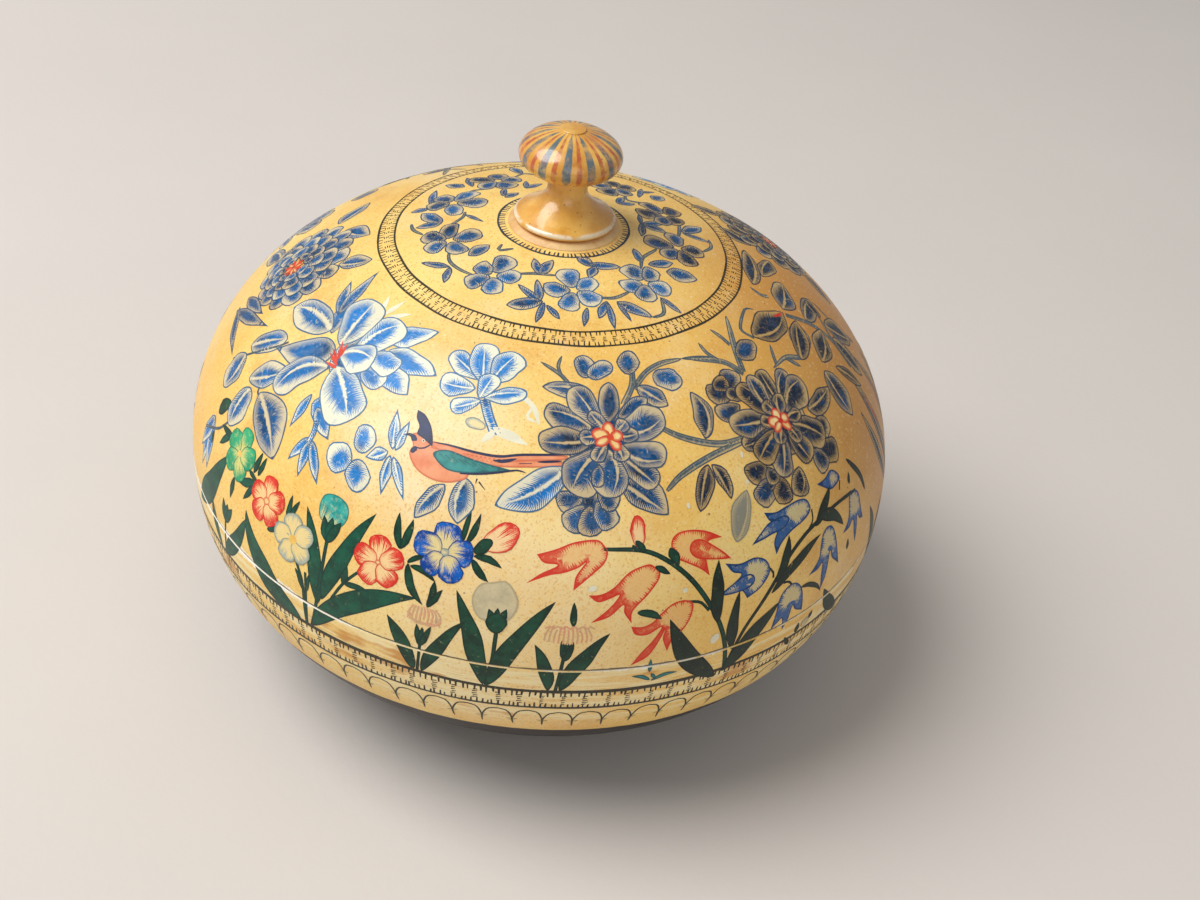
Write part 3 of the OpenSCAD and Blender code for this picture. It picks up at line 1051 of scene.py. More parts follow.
def central_flower(phi=15, s=57, tone=0.28, name="central_flower"):
    p = Painting(name, phi, s)
    p.stroke([(6.4, 13.2), (5.9, 10.2), (3.8, 6.5)], 1.3, STEM, (0.8, 1.0))
    p.stroke([(6.2, 9.6), (9, 12.6), (12.5, 14), (17, 13.9)], 1.3, STEM, (1.0, 0.2))
    p.stroke([(-6, 11.2), (-7.4, 13), (-10.6, 15.2)], 0.9, STEM, (1.0, 0.1))
    p.stroke([(-7, 12.6), (-7.4, 14.6), (-6.4, 17)], 0.7, STEM, (1.0, 0.1))
    p.stroke([(17, 14), (21, 13), (25, 11.6)], 0.9, STEM, (0.1, 0.8))
    petals(p, [((-2.6, 12.2), (-2.4, 17.4), 4.0), ((-2.2, 12.6), (2.7, 15.4), 3.9),
               ((5.6, 12.6), (6.3, 18.0), 4.4), ((10.4, 12.2), (16.2, 8.8), 4.4)], BLUE, tone + 0.1, BUD)
    petals(p, [((6.8, 10), (12.6, 5.2), 3.9), ((-2, 9.6), (-10.9, 9.9), 3.7)], BLUE, tone, LEAFY, 0.3)
    dark_middle(p, (-4, -12.4), 3.2, 3.0, tone)
    petals(p, [((-5, -10.4), (-9.9, -12.4), 4.6), ((-5, -12), (-8.2, -16.8), 4.6),
               ((-4, -12), (-4.2, -17.8), 5.0), ((-3, -11.4), (0.2, -16.2), 4.8),
               ((-2.6, -10), (1.2, -12.4), 4.2)], BLUE, tone)
    p.blade((-7.6, -5.4), (-21.2, -13.6), 6.2, BLUE, *LEAFY, bend=0.05, tone=0.75, rib=0.5)
    p.blade((1.8, -8), (10.6, -14.8), 5.8, BLUE, *LEAFY, bend=0.06, tone=tone, rib=0.4)
    dark_middle(p, (0, -1), 7.6, 6.8, tone)
    petals(p, [((0.6, 3), (1.6, 11.4), 4.4), ((2.4, 4), (8.6, 7.4), 3.8)], BLUE, tone, (0.8, 0.7))
    petals(p, [((-2.4, 2), (-11, 5.2), 5.4), ((-1, 2), (-5.4, 10.4), 5.6)], BLUE, tone, rib=0.3)
    petals(p, [((2, -3), (8.8, -9.4), 4.8), ((2, -1.6), (11, -4.6), 5.4),
               ((-1.8, 0), (-12.6, -0.9), 5.6), ((1.8, 1.2), (11.5, 3.4), 7.0)], BLUE, tone, rib=0.35)
    petals(p, [((-1.4, -1.8), (-7.4, -10), 7.6), ((0.2, -1.8), (-0.2, -11), 6.6)], BLUE, tone, rib=0.35)
    p.blade((-1.8, -4.6), (-2.6, -9), 2.8, BLUE, *ROUND, tone=tone)
    inner_petals(p, (0.6, 0.3), 5.4, 3.2, 6, tone, 2)
    heart(p, (0.6, 0.3), 2.3)
    p.build()


def central_links(phi=33.9, name="linking_leaves"):
    """Leaves and stems that run from the central flower to the right one."""
    p = Painting(name, phi, 62)
    p.stroke([(-9, 8), (-4, 4), (3, 0.9), (9.5, 0.2)], 1.4, STEM, (0.4, 0.9))
    p.stroke([(-10, -5.5), (-6, -3), (1, -0.9), (10, 0)], 1.4, STEM, (0.4, 0.9))
    p.blade((0.8, 2.4), (1.6, 12), 4.4, BLUE, *LEAFY, bend=-0.12, tone=0.2, rib=0.35)
    p.blade((-0.4, -2.2), (-4.6, -10.4), 4.0, BLUE, *LEAFY, tone=0.05, rib=0.3)
    p.blade((0.2, -2.4), (2.4, -9.6), 3.0, BLUE, *LEAFY, bend=0.1, tone=0.1, rib=0.3)
    p.build()


def right_flower(phi=53, s=62, tone=0.08, name="right_flower"):
    p = Painting(name, phi, s)
    p.stroke([(-1, 11.4), (-3.4, 15.4), (-9.6, 18.6)], 1.3, STEM, (1.0, 0.2))
    p.stroke([(-4, 16), (-5, 18.4), (-4.8, 21)], 0.9, STEM, (1.0, 0.1))
    p.stroke([(-0.8, 11.8), (1.6, 16.6), (6.2, 22.8)], 1.4, STEM, (1.0, 0.2))
    p.stroke([(1.2, 17.6), (0.8, 20), (0, 22.4)], 0.9, STEM, (1.0, 0.1))
    p.stroke([(22.6, 5.8), (17, 6.2), (12, 8.8), (6.8, 9)], 1.1, STEM, (0.6, 0.1))
    p.stroke([(8.2, 9), (9.2, 10.8), (10.6, 12.8)], 0.9, STEM, (1.0, 0.1))
    p.stroke([(12, 8.8), (13.2, 7), (14.6, 5.2)], 0.9, STEM, (1.0, 0.1))
    p.blade((0.4, 14.8), (7.2, 15.2), 4.6, BLUE, *BUD, tone=tone)
    p.blade((24.6, 6.8), (17.6, 10), 5.4, BLUE, *BUD, tone=tone + 0.1, rib=0.3)
    petals(p, [((-6.4, 8.6), (-11.8, 10.6), 4.8), ((-6.4, 9), (-3.4, 13.6), 5.0),
               ((-6.6, 9.6), (-8, 13), 4.6), ((-6.6, 6.4), (-12.8, 5.8), 4.2),
               ((-5, 7), (-7.6, 9.9), 3.4),
               ((-8.4, -5.8), (-14, -7.2), 5.0), ((-8, -8.8), (-14, -12.2), 5.0),
               ((-6.6, -9), (-8.2, -14.4), 5.0), ((-8.6, -6.4), (-8.4, -10.2), 3.6),
               ((5.4, -7.6), (12.8, -5.6), 5.0), ((5.2, -9), (12.2, -11.8), 5.4),
               ((4.4, -8), (6.4, -13.4), 4.8)], BLUE, tone)
    p.blade((-1.2, -9.2), (-3.8, -14.6), 5.2, BLUE, *ROUND, tone=tone, rib=0.3)
    p.blade((8.6, -1.4), (19.2, -1.8), 4.8, BLUE, *LEAFY, bend=-0.08, tone=tone, rib=0.3)
    dark_middle(p, (0, 0), 7.4, 7.0, tone)
    petals(p, [((2, 3), (2.8, 10.6), 4.4), ((3, 3.2), (9, 7.6), 4.4)], BLUE, tone, rib=0.25)
    petals(p, [((-3, -0.2), (-11.6, -1.2), 4.2), ((-2, 1.4), (-11.6, 3.4), 6.0),
               ((-1.8, 2), (-4.2, 10.2), 5.2), ((-0.6, 1.8), (-0.4, 10.8), 4.0),
               ((2.2, -1.4), (9.6, -8.2), 6.6), ((0.6, -1.8), (2.8, -9.8), 5.6),
               ((-1.4, -1.8), (-6.2, -9.6), 5.2), ((-1.8, -1), (-9.8, -4.8), 5.6),
               ((2.4, 0.8), (12, 3.6), 6.6)], BLUE, tone, rib=0.35)
    inner_petals(p, (0, 0), 5.6, 3.4, 6, tone, 5)
    heart(p, (0, 0), 2.2)
    p.build()


def left_flower(phi=-44, s=57, tone=0.9, name="left_flower"):
    p = Painting(name, phi, s)
    p.blade((-7, 3), (-11.4, 11.6), 3.6, BLUE, *LEAFY, tone=tone * 0.7)
    p.blade((-9.8, 6.4), (-15.4, 12.2), 3.0, BLUE, *POINTED, tone=tone * 0.6)
    p.blade((-9.8, 6.2), (-12.4, 17.8), 3.0, BLUE, *POINTED, tone=tone * 0.6)
    for tip in ((-4.4, 16.4), (-0.6, 17.6), (3.2, 16.2)):
        p.blade((-1 + tip[0] * 0.3, 12.8), tip, 1.2, WHITE, *POINTED)
    p.blade((-7.6, 3.6), (-21.8, -0.4), 7.4, BLUE, *LEAFY, bend=-0.04, tone=tone * 0.75, rib=0.7)
    petals(p, [((0.1, -7.6), (0.3, -15.2), 2.2), ((2.2, -7), (4.6, -11.6), 3.2),
               ((3, -9), (9.8, -12.8), 3.4), ((6, -14.2), (4, -20.2), 2.4),
               ((6.2, -14.4), (8, -21.8), 2.4), ((6.6, -14.4), (12.8, -21), 2.4)], BLUE, tone, POINTED)
    p.stroke([(5, -11), (6, -13), (6.2, -15)], 1.2, BLUE, tone=tone)
    dark_middle(p, (2.4, 2.6), 5.4, 5.8, tone * 0.9)
    petals(p, [((4.6, 9), (10.8, 15.6), 5.2), ((6.4, 7.6), (18.2, 7), 5.2),
               ((8, 4.4), (16.8, 1.4), 5.0)], BLUE, 1.0, (0.7, 0.95), 0.0)
    petals(p, [((4.6, 2.4), (11.4, 0.8), 4.8), ((4, 5.6), (11.2, 4.4), 5.4)], BLUE, tone, ROUND)
    petals(p, [((0, -0.6), (10.8, -8.2), 9.6), ((1.2, 3), (3.9, 13.7), 7.6),
               ((-3, 2.6), (-5.4, 13.8), 9.2)], BLUE, tone, ROUND, 0.5)
    p.blade((-3, 1.6), (-16.6, -7.2), 6.8, BLUE, 0.6, 1.3, bend=0.05, tone=tone * 0.65)
    p.blade((-0.8, -1.6), (-8.8, -12.4), 6.6, BLUE, *ROUND, bend=-0.12, tone=tone * 0.8, rib=0.5)
    p.blade((-1.4, 1.4), (6, 4.2), 7.0, BLUE, *ROUND, tone=tone, rib=0.4)
    for base, tip in (((-0.6, 0.4), (-3.4, 4)), ((-0.8, 1), (-1.8, 4)), ((-0.4, 0), (-3.6, 1.4)),
                      ((0.4, -0.6), (-3.4, 0.4)), ((0.6, -1), (-2.6, -1.4))):
        p.blade(base, tip, 0.7, CRIMSON, *POINTED)
    p.build()


def small_flower(phi=-12, s=50, tone=1.0, name="small_flower"):
    p = Painting(name, phi, s)
    p.stroke([(1.4, -1.6), (3.4, -5), (5.6, -8)], 1.9, BLUE, tone=0.9)
    p.blade((4.6, -6.6), (11.9, -8.9), 1.9, WHITE, *POINTED)
    p.blade((5.2, -7.2), (3.4, -10), 1.4, WHITE, *POINTED)
    p.stroke([(6.6, 1), (10.4, -1.4), (12.6, -4.8)], 0.9, WHITE, (1.0, 0.2))
    p.stroke([(10.4, -1.4), (10, -3.6), (12, -4.4)], 0.6, WHITE, (1.0, 0.2))
    p.blade((3.4, -7), (-0.6, -6.4), 2.2, GREY, *BUD)
    petals(p, [((1, -2), (-4.2, -5), 3.4), ((1, -1.4), (8.6, 1), 3.6), ((-0.6, 2), (-7.8, 5.6), 4.6),
               ((-0.8, 0), (-7.8, -0.8), 4.8), ((0.2, 1), (-2.4, 9.8), 5.8), ((1.4, 1.6), (4.4, 9.2), 6.0),
               ((0.4, -1.8), (1.6, 3.8), 4.2)], BLUE, tone, ROUND, 0.2)
    p.build()


def dahlia(phi=-79, s=53, tone=0.35, name="many_petalled_flower"):
    p = Painting(name, phi, s)
    p.blade((-10, 7), (-3.8, 13.4), 4.6, BLUE, *LEAFY, tone=tone, rib=0.3)
    p.blade((4, 6.6), (6.2, 13.6), 4.6, BLUE, *LEAFY, tone=tone, rib=0.3)
    p.blade((-15, 4), (-23, 7.4), 5.0, BLUE, *LEAFY, tone=tone, rib=0.3)
    p.blade((-12, -9), (-21, -15), 5.0, BLUE, *LEAFY, tone=tone, rib=0.3)
    jitter = random.Random(11)
    cx, cy = -3.0, -3.6
    for count, up, down, wide, size in ((15, 13.6, 9.2, 13.4, 5.0), (13, 10.6, 7.6, 10.4, 4.6),
                                        (10, 7.6, 5.8, 7.4, 4.2), (7, 4.8, 4.0, 4.6, 3.4)):
        for k in range(count):
            a = 2 * math.pi * (k + jitter.uniform(-0.15, 0.15)) / count + count
            reach = up if math.sin(a) > 0 else down
            tip = (cx + wide * math.cos(a), cy + reach * math.sin(a))
            base = (cx + (tip[0] - cx) * 0.45, cy + (tip[1] - cy) * 0.45)
            p.blade(base, tip, size * jitter.uniform(0.9, 1.15), BLUE, 0.5, 0.38,
                    tone=tone + jitter.uniform(-0.1, 0.15), rib=0.0)
    for k in range(11):
        a = 2 * math.pi * k / 11 + 0.3
        tip = (cx + 2.9 * math.cos(a), cy + 2.6 * math.sin(a))
        p.blade((cx + 0.3 * math.cos(a), cy + 0.3 * math.sin(a)), tip, 0.9,
                CRIMSON if k % 2 else YOLK, *POINTED)
    p.build()


def left_leaves(phi=-62, s=72, tone=0.55, name="left_leaf_spray"):
    p = Painting(name, phi, s)
    for base, tip, width in (((-23, -0.6), (-5.2, 8.2), 3.0), ((-23, 3), (-10.6, 7.6), 2.8),
                             ((-23, 0.4), (-8.2, -2.2), 2.4)):
        p.blade(base, tip, width, BLUE, *POINTED, tone=tone * 0.6)
    p.stroke([(-7, -2), (-3.4, 1.6), (2, 8), (3.6, 10.6)], 0.5, STEM)
    p.stroke([(5.4, -9.4), (3, -12.6), (-3, -16)], 0.6, STEM)
    p.stroke([(10, 7.4), (7.4, 1), (8.4, -0.4)], 0.5, STEM)
    petals(p, [((-4.6, 3.2), (2.6, 10.8), 5.6), ((2.8, -0.2), (9.8, 7.2), 5.8), ((-4, 1.6), (-3.4, -6.8),
                                                                                 6.4),
               ((5.2, -0.8), (6.2, -9.8), 6.6)], BLUE, tone, (0.6, 0.6), 0.45)
    p.blade((8.4, 0.2), (22.4, -7.2), 8.4, BLUE, *LEAFY, bend=0.08, tone=tone * 0.8, rib=0.6)
    p.build()


def right_buds(phi=76, s=52, tone=0.04, name="right_bud_branch"):
    p = Painting(name, phi, s)
    p.stroke([(3.8, 3), (8, -3), (10, -9), (10.4, -18)], 1.1, STEM)
    p.stroke([(4.6, 12), (4.4, 9.4), (5.6, 7.8)], 0.9, STEM, (0.2, 1.0))
    p.stroke([(-10, 5.8), (-10, 9), (-4, 11), (-2, 9.6)], 0.7, STEM, (1.0, 0.2))
    petals(p, [((6.2, 11.6), (19.8, 12.2), 4.6), ((5, 4), (15, 4.6), 6.4), ((-5.2, -4.2), (4.8, 0.6), 5.4),
               ((8, -1.8), (18, -3.2), 5.0), ((-0.2, -8.2), (9.8, -5.8), 5.8),
               ((-9.8, 6.2), (3.8, 3.8), 7.2), ((-2, -9.4), (-3.2, -20.4), 6.8),
               ((3, -11.6), (8.4, -20.4), 3.0), ((13, -7), (20.4, -16.4), 6.2),
               ((11.4, -9.4), (12.6, -20.6), 5.2)], BLUE, tone, LEAFY, 0.35)
    p.blade((0.4, 5.2), (3.2, 4), 0.7, CRIMSON, *BUD)
    p.build()


def side_reeds(phi=88, s=76, tone=0.05, name="side_reeds"):
    """Tall dark leaves at the turn of the side."""
    p = Painting(name, phi, s)
    rows = (((-8, -19), (-13, 2), 3.4, 0.08), ((-3, -23), (-7, 9), 3.8, 0.06), ((3, -25), (1, 8), 3.6,
                                                                                -0.05),
            ((8, -22), (10, 3), 3.2, 0.05))
    for base, tip, width, bend in rows:
        p.blade(base, tip, width, BLUE, *LEAFY, bend=bend, tone=tone, rib=0.4)
    p.stroke([(-4, 8), (-2, 14), (3, 19)], 0.9, STEM, (0.8, 0.2))
    p.stroke([(8.6, 6), (6, 13), (7, 20)], 0.9, STEM, (0.8, 0.2))
    p.blade((3, 18), (5.2, 22.4), 3.0, BLUE, *BUD, tone=tone)
    p.blade((2.6, -8), (1.4, 2), 0.6, CRIMSON, *POINTED)
    p.blade((-6, -6), (-7.6, 3), 0.6, CRIMSON, *POINTED)
    p.build()


def bird(phi=-14, s=64, name="bird"):
    p = Painting(name, phi, s)
    feathers = (((-10, -2), (-11.8, 5.4), 2.4), ((-9.4, -2), (-8.6, 4.2), 2.0), ((-10, -3), (-9.6, -10.4),
                                                                                 2.4),
                ((-9.4, -3), (-5, -9.8), 2.2), ((-10.6, -2.6), (-14.8, -5.2), 2.6))
    petals(p, feathers, BLUE, 1.0, POINTED, 0.2)
    petals(p, [((-16.6, -5), (-15.6, 0.4), 4.8), ((-17.4, -6), (-22.8, -8.8), 5.8),
               ((-16, -6), (-14.4, -11.8), 5.4)], BLUE, 0.9, BUD)
    petals(p, [((1.6, -4.8), (-2.2, -12.2), 3.8), ((5, -2.8), (5.8, -11.2), 5.0)], BLUE, 0.55, LEAFY, 0.35)
    p.stroke([(-3, 1.4), (2, 1.6), (9, 1.7), (15, 2.9), (21.4, 3.4)], 1.5, SALMON, (0.9, 0.4))
    p.stroke([(3, 0.9), (9, 1.0), (15, 1.7), (21.4, 2.2)], 1.5, SALMON, (0.7, 0.3))
    head = closed([(-2.2, 1.2), (-3.4, 2.2), (-5.2, 2.9), (-7, 2.3), (-7.1, 1.3), (-6.4, 0), (-6.7, -1.2),
                   (-6, -2.4),
                   (-4.6, -3.6), (-2.6, -4.4), (0.2, -4.7), (3, -4.1), (5.2, -2.6), (4, -0.6), (1, 0.6)])
    p.fill(head, bent_axis((-6, 0), (4, -2.6), 0), SALMON)
    wing = closed([(-2.3, -0.1), (-1.2, 0.9), (0.8, 1.3), (4, 0.9), (8, 0.5), (12.6, 0), (10, -0.7),
                   (7, -1.5),
                   (3.5, -2.2), (1, -2.2), (-1, -1.3)])
    p.fill(wing, bent_axis((-2, 0), (12, -0.2), 0), TEAL)
    for k in range(9):
        x = -1.2 + k * 1.25
        p.stroke([(x, 0.3 - 0.03 * k), (x + 2.0, -0.7 + 0.02 * k)], 0.2, INK_LINE, (0.4, 0.1))
    p.stroke([(3.6, -2.3), (7, -1.6), (10.2, -0.7), (13.2, 0.2), (14.9, 0)], 0.4, INDIGO, (0.5, 0.3))
    p.stroke([(-2.8, 1.9), (0.3, 2.2), (5, 2.1), (9.4, 2.2), (13.5, 3.2), (20.8, 4.0)], 0.5, INDIGO,
             (0.2, 0.7))
    p.stroke([(8.6, 1.3), (10.6, 1.5), (12.6, 2.3)], 0.7, INDIGO, (0.2, 0.2))
    p.stroke([(13.3, 1.5), (15.5, 1.8)], 0.45, INDIGO, (0.3, 0.3))
    p.stroke([(16.4, 2.2), (20.6, 2.7)], 0.5, INDIGO, (0.3, 0.3))
    p.stroke([(6.9, -2.5), (6.9, -3.4)], 0.35, INK_LINE, (0.8, 0.3))
    p.stroke([(7.4, -3.0), (8.9, -4.2)], 0.35, INK_LINE, (0.8, 0.3))
    crest = sketch([(-7.9, 6.6, 1), (-7.6, 5.2), (-6.5, 3.8), (-6.4, 2.4), (-4.9, 1.9), (-2.8, 1.0, 1),
                    (-3.4, 2.8),
                    (-4.5, 4.7), (-6.2, 6.2)])
    p.fill(crest, bent_axis((-4.6, 2), (-7.6, 6.2), 0), INDIGO)
    beak = sketch([(-8.9, 1.3, 1), (-7.9, 2.0), (-6.6, 2.0), (-6, 1.2), (-6.9, 0.8, 1), (-7.6, 1.5)])
    p.fill(beak, bent_axis((-6, 1.4), (-8.6, 1.4), 0), INDIGO)
    p.blade((-5.6, 0.1), (-6.4, -1.2), 1.0, INDIGO, *BUD)
    p.stroke([(-6.0, 0), (-4.6, 0.1), (-3.6, 0.9), (-2.9, 1.9)], 0.3, INDIGO, (0.6, 0.3))
    p.blade((-5.1, 1.5), (-4.5, 1.6), 0.6, WHITE, *BUD)
    p.blade((-4.95, 1.53), (-4.65, 1.57), 0.35, INK_LINE, *BUD)
    p.build()


INDIGO = flat_paint("indigo_paint", (50, 62, 104), (44, 52, 86), (36, 40, 66))
central_links()
central_flower()
right_flower()
left_flower()
small_flower()
dahlia()
left_leaves()
right_buds()
side_reeds()
bird()


def bell(p, outline, head, tip, material):
    """Hanging bell flower from its outline; head and tip give the line along it."""
    p.fill(sketch(outline), bent_axis(head, tip, 0), material, tone=0.4)


def five_petals(p, centre, reach, width, material, start, tone, middle, heart_paint=None):
    """Round flower of five petals, the first one at start degrees, with a round middle."""
    x, y = centre
    for k in range(5):
        a = math.radians(start + 360 * k / 5)
        tip = (x + reach * math.cos(a), y + reach * math.sin(a))
        p.blade((x + 0.25 * math.cos(a), y + 0.25 * math.sin(a)), tip, width, material, 0.55, 0.4,
                tone=tone + 0.1 * math.sin(k * 2.1))
    p.blade((x - middle, y), (x + middle, y), middle * 1.8, heart_paint or YOLK, *BUD)


def leaves(p, rows, material):
    for base, tip, width, bend in rows:
        p.blade(base, tip, width, material, *BLADE, bend=bend)


BLADE = (0.7, 0.95)


def plants_far_left(phi=-44, name="plants_green_flower"):
    """Green, red and grey-white flowers with sword leaves."""
    p = Painting(name, phi, 90)
    p.stroke([(14, -3.6), (16.4, -8), (17.4, -17.2)], 0.7, LIT_GREEN)
    p.stroke([(-8.7, -8.4), (-8.9, -12), (-9.2, -16.6)], 0.6, LIT_GREEN)
    leaves(p, [((16, -17.4), (-1.8, -1.6), 5.6, 0.10), ((-9.8, -17.4), (-1.3, -3.4), 3.8, -0.08),
               ((-24, -14), (-12, 4.2), 5.6, -0.06), ((-11, -17), (-15.6, -7.6), 2.4, 0.05),
               ((4, -11.9), (10.4, -14), 2.6, 0), ((-7.9, 2), (-7.8, -2.8), 1.5, 0),
               ((14.2, -5.4), (16.4, -7.6), 0.9, 0), ((17.6, -9), (17.6, -5), 1.0, 0)], LIT_GREEN)
    for tip in ((-10.4, -4.4), (-8.4, -4.6), (-6.5, -4.6)):
        p.blade((-8.6, -9), tip, 2.0, LIT_GREEN, *BLADE)
    leaves(p, [((-13.6, 7.8), (-17, 3.8), 1.7, 0), ((-13, 7.6), (-18.4, 7), 1.4, 0),
               ((-2.6, 6), (-2.4, 10.6), 1.5, 0), ((-1.2, 6.2), (-0.8, 10.4), 1.3, 0),
               ((-1, 4.6), (-6.4, 2), 2.0, 0), ((-1, 4.2), (-3.4, -0.2), 1.5, 0),
               ((-4.2, 5.8), (-0.4, 5), 1.0, 0), ((9.7, 2.8), (8.9, 7.8), 1.3, 0),
               ((9.9, 2.8), (11, 7.6), 1.3, 0), ((7.6, 0.6), (10, 1.4), 0.9, 0),
               ((5.4, -1.6), (8.2, 0), 1.4, 0)], LIT_GREEN)
    five_petals(p, (-8.6, 6.6), 5.4, 4.6, JADE, 86, tone=0.5, middle=0.7, heart_paint=YELLOW)
    five_petals(p, (3.4, 3.4), 5.0, 4.4, RED, 96, tone=0.7, middle=0.9)
    five_petals(p, (12.4, 0), 5.2, 4.6, GREY, 110, tone=0.6, middle=1.0, heart_paint=YELLOW)
    p.build()


def left_edge_flower(phi=-44, name="left_edge_flower"):
    """Blue hanging flower and leaf at the left edge of the photograph."""
    p = Painting(name, phi, 90)
    for tip in ((-23.4, -5.4), (-20.4, -4.4), (-25.6, -2.2)):
        p.blade((-22.6, 6.2), tip, 3.6, BLUE, *POINTED, tone=0.8)
    leaves(p, [((-22, 7.4), (-18.4, 11.6), 3.2, 0.1), ((-21, 4), (-20.4, 1.4), 1.2, 0)], GREEN)
    p.build()


def plants_left(phi=-24, name="plants_poppy"):
    """Teal poppy, red five-petalled flower, long leaves."""
    p = Painting(name, phi, 92)
    p.stroke([(-5.6, 5.6), (-5.6, -1), (-6.4, -10), (-7.4, -15)], 0.8, LIT_GREEN)
    p.stroke([(-8.6, -15), (-8.8, -8), (-9.3, -3)], 0.6, LIT_GREEN)
    p.stroke([(-3.4, -7), (-1, -2), (1, 1), (3.4, 3.8)], 0.6, LIT_GREEN)
    leaves(p, [((-6, -8.6), (-11.8, 9.6), 3.6, -0.07), ((-5, -7), (2.6, 14.2), 3.6, 0.03),
               ((-7.4, -15), (14.4, 1.4), 4.8, 0.11), ((-0.6, -1), (4.4, -0.4), 1.4, 0),
               ((-0.6, -1.6), (-0.3, 2.8), 1.5, 0), ((-9, -8), (-11.8, -3.4), 0.9, 0)], LIT_GREEN)
    dome = closed([(-9.2, 11.2), (-8.6, 13.4), (-6, 14.2), (-3.4, 13.4), (-2.6, 11.2), (-3.6, 9), (-6, 8.2),
                   (-8.4, 9)])
    p.fill(dome, bent_axis((-7.4, 7.4), (-5.4, 14), 0), POPPY, tone=0.5)
    for tip in ((-7.6, 9.8), (-5.6, 10.2), (-3.6, 10)):
        p.blade((-5.6, 5.2), tip, 2.1, LIT_GREEN, *BLADE)
    five_petals(p, (5.6, 5.8), 5.2, 4.5, RED, 100, tone=0.7, middle=0.6)
    p.build()


def plants_middle(phi=-8, name="plants_blue_flower"):
    """Blue five-petalled flower, salmon bud, grey ball flower."""
    p = Painting(name, phi, 92)
    p.stroke([(9, -2), (8.8, -9), (8.0, -15.2)], 0.8, GREEN)
    p.stroke([(-4.6, -4.6), (-4.9, -9), (-5.2, -15.2)], 0.6, GREEN)
    leaves(p, [((7.4, -15.2), (0.8, 5), 3.7, -0.04), ((8.2, -15.2), (18.8, 5.2), 3.9, 0.05),
               ((-4.4, -15.2), (3.2, -0.8), 2.8, 0.05), ((-6, -15.2), (-11.7, -3.8), 3.2, -0.05),
               ((0.2, 13.6), (0.8, 19.8), 1.2, 0), ((1, 13.4), (2.6, 19.6), 1.3, -0.05),
               ((2.8, 11.8), (8.2, 10.4), 1.4, 0.1), ((2.8, 11.2), (6.2, 7.6), 1.6, -0.08),
               ((-10.9, 9.6), (-12.1, 16), 1.6, 0.05), ((-10.8, 9.6), (-9.3, 15.6), 1.6, -0.05),
               ((-9, 7.6), (-5.4, 9.6), 1.1, 0.1), ((-8.8, 7.6), (-5, 0.4), 1.8, -0.12),
               ((-8.4, 7.2), (-3.2, 5.4), 1.4, 0.12), ((-3.4, 5.6), (-4.4, 0.6), 1.3, 0.08),
               ((-4.2, 0.2), (-1.7, 4.4), 1.4, 0)], GREEN)
    for tip in ((-5.8, -3.8), (-4.6, -4.2), (-3, -3.6)):
        p.blade((-4.9, -8.8), tip, 1.4, GREEN, *BLADE)
    for k in range(9):
        x = -7.6 + 0.75 * k
        top = -3.0 + 0.5 * math.sin(k * 2)
        p.stroke([(x, top), (x + 0.2, -1.2), (-4.6 + (x + 4.6) * 0.7, 0)], 0.3, BLUSH)
    p.stroke([(-7.6, -1.6), (-6.6, -3.2), (-4.6, -3.4), (-2.4, -3.2), (-1.4, -1.6)], 0.5, BLUSH)
    petals(p, [((-2.6, 11.4), (-2.4, 16.8), 5.6), ((-3, 11.6), (-8.4, 12.4), 5.0), ((-2, 11.6), (2.8, 12),
                                                                                    5.0),
               ((-2.8, 11), (-5.6, 7), 4.2), ((-2, 11), (0, 6), 4.6)], BRIGHT, 0.4, (0.5, 0.38), spread=0)
    p.blade((-3.2, 11.4), (-1.6, 11.4), 1.5, GREY, *BUD)
    p.blade((4.4, 13.6), (9.8, 18), 5.0, RED, *BUD, tone=0.8)
    p.blade((2.8, 12.4), (5.6, 15.2), 2.4, GREEN, *BUD)
    p.blade((3.8, 4.2), (12.2, 3.8), 8.2, PALE_GREY, *BUD)
    for tip in ((7.1, 2.6), (8.7, 3.0), (10.3, 3.0)):
        p.blade((8.8, -1.6), tip, 2.0, GREEN, *BLADE)
    p.blade((8.8, -2.3), (8.8, 2), 3.8, GREEN, *BUD)
    p.build()


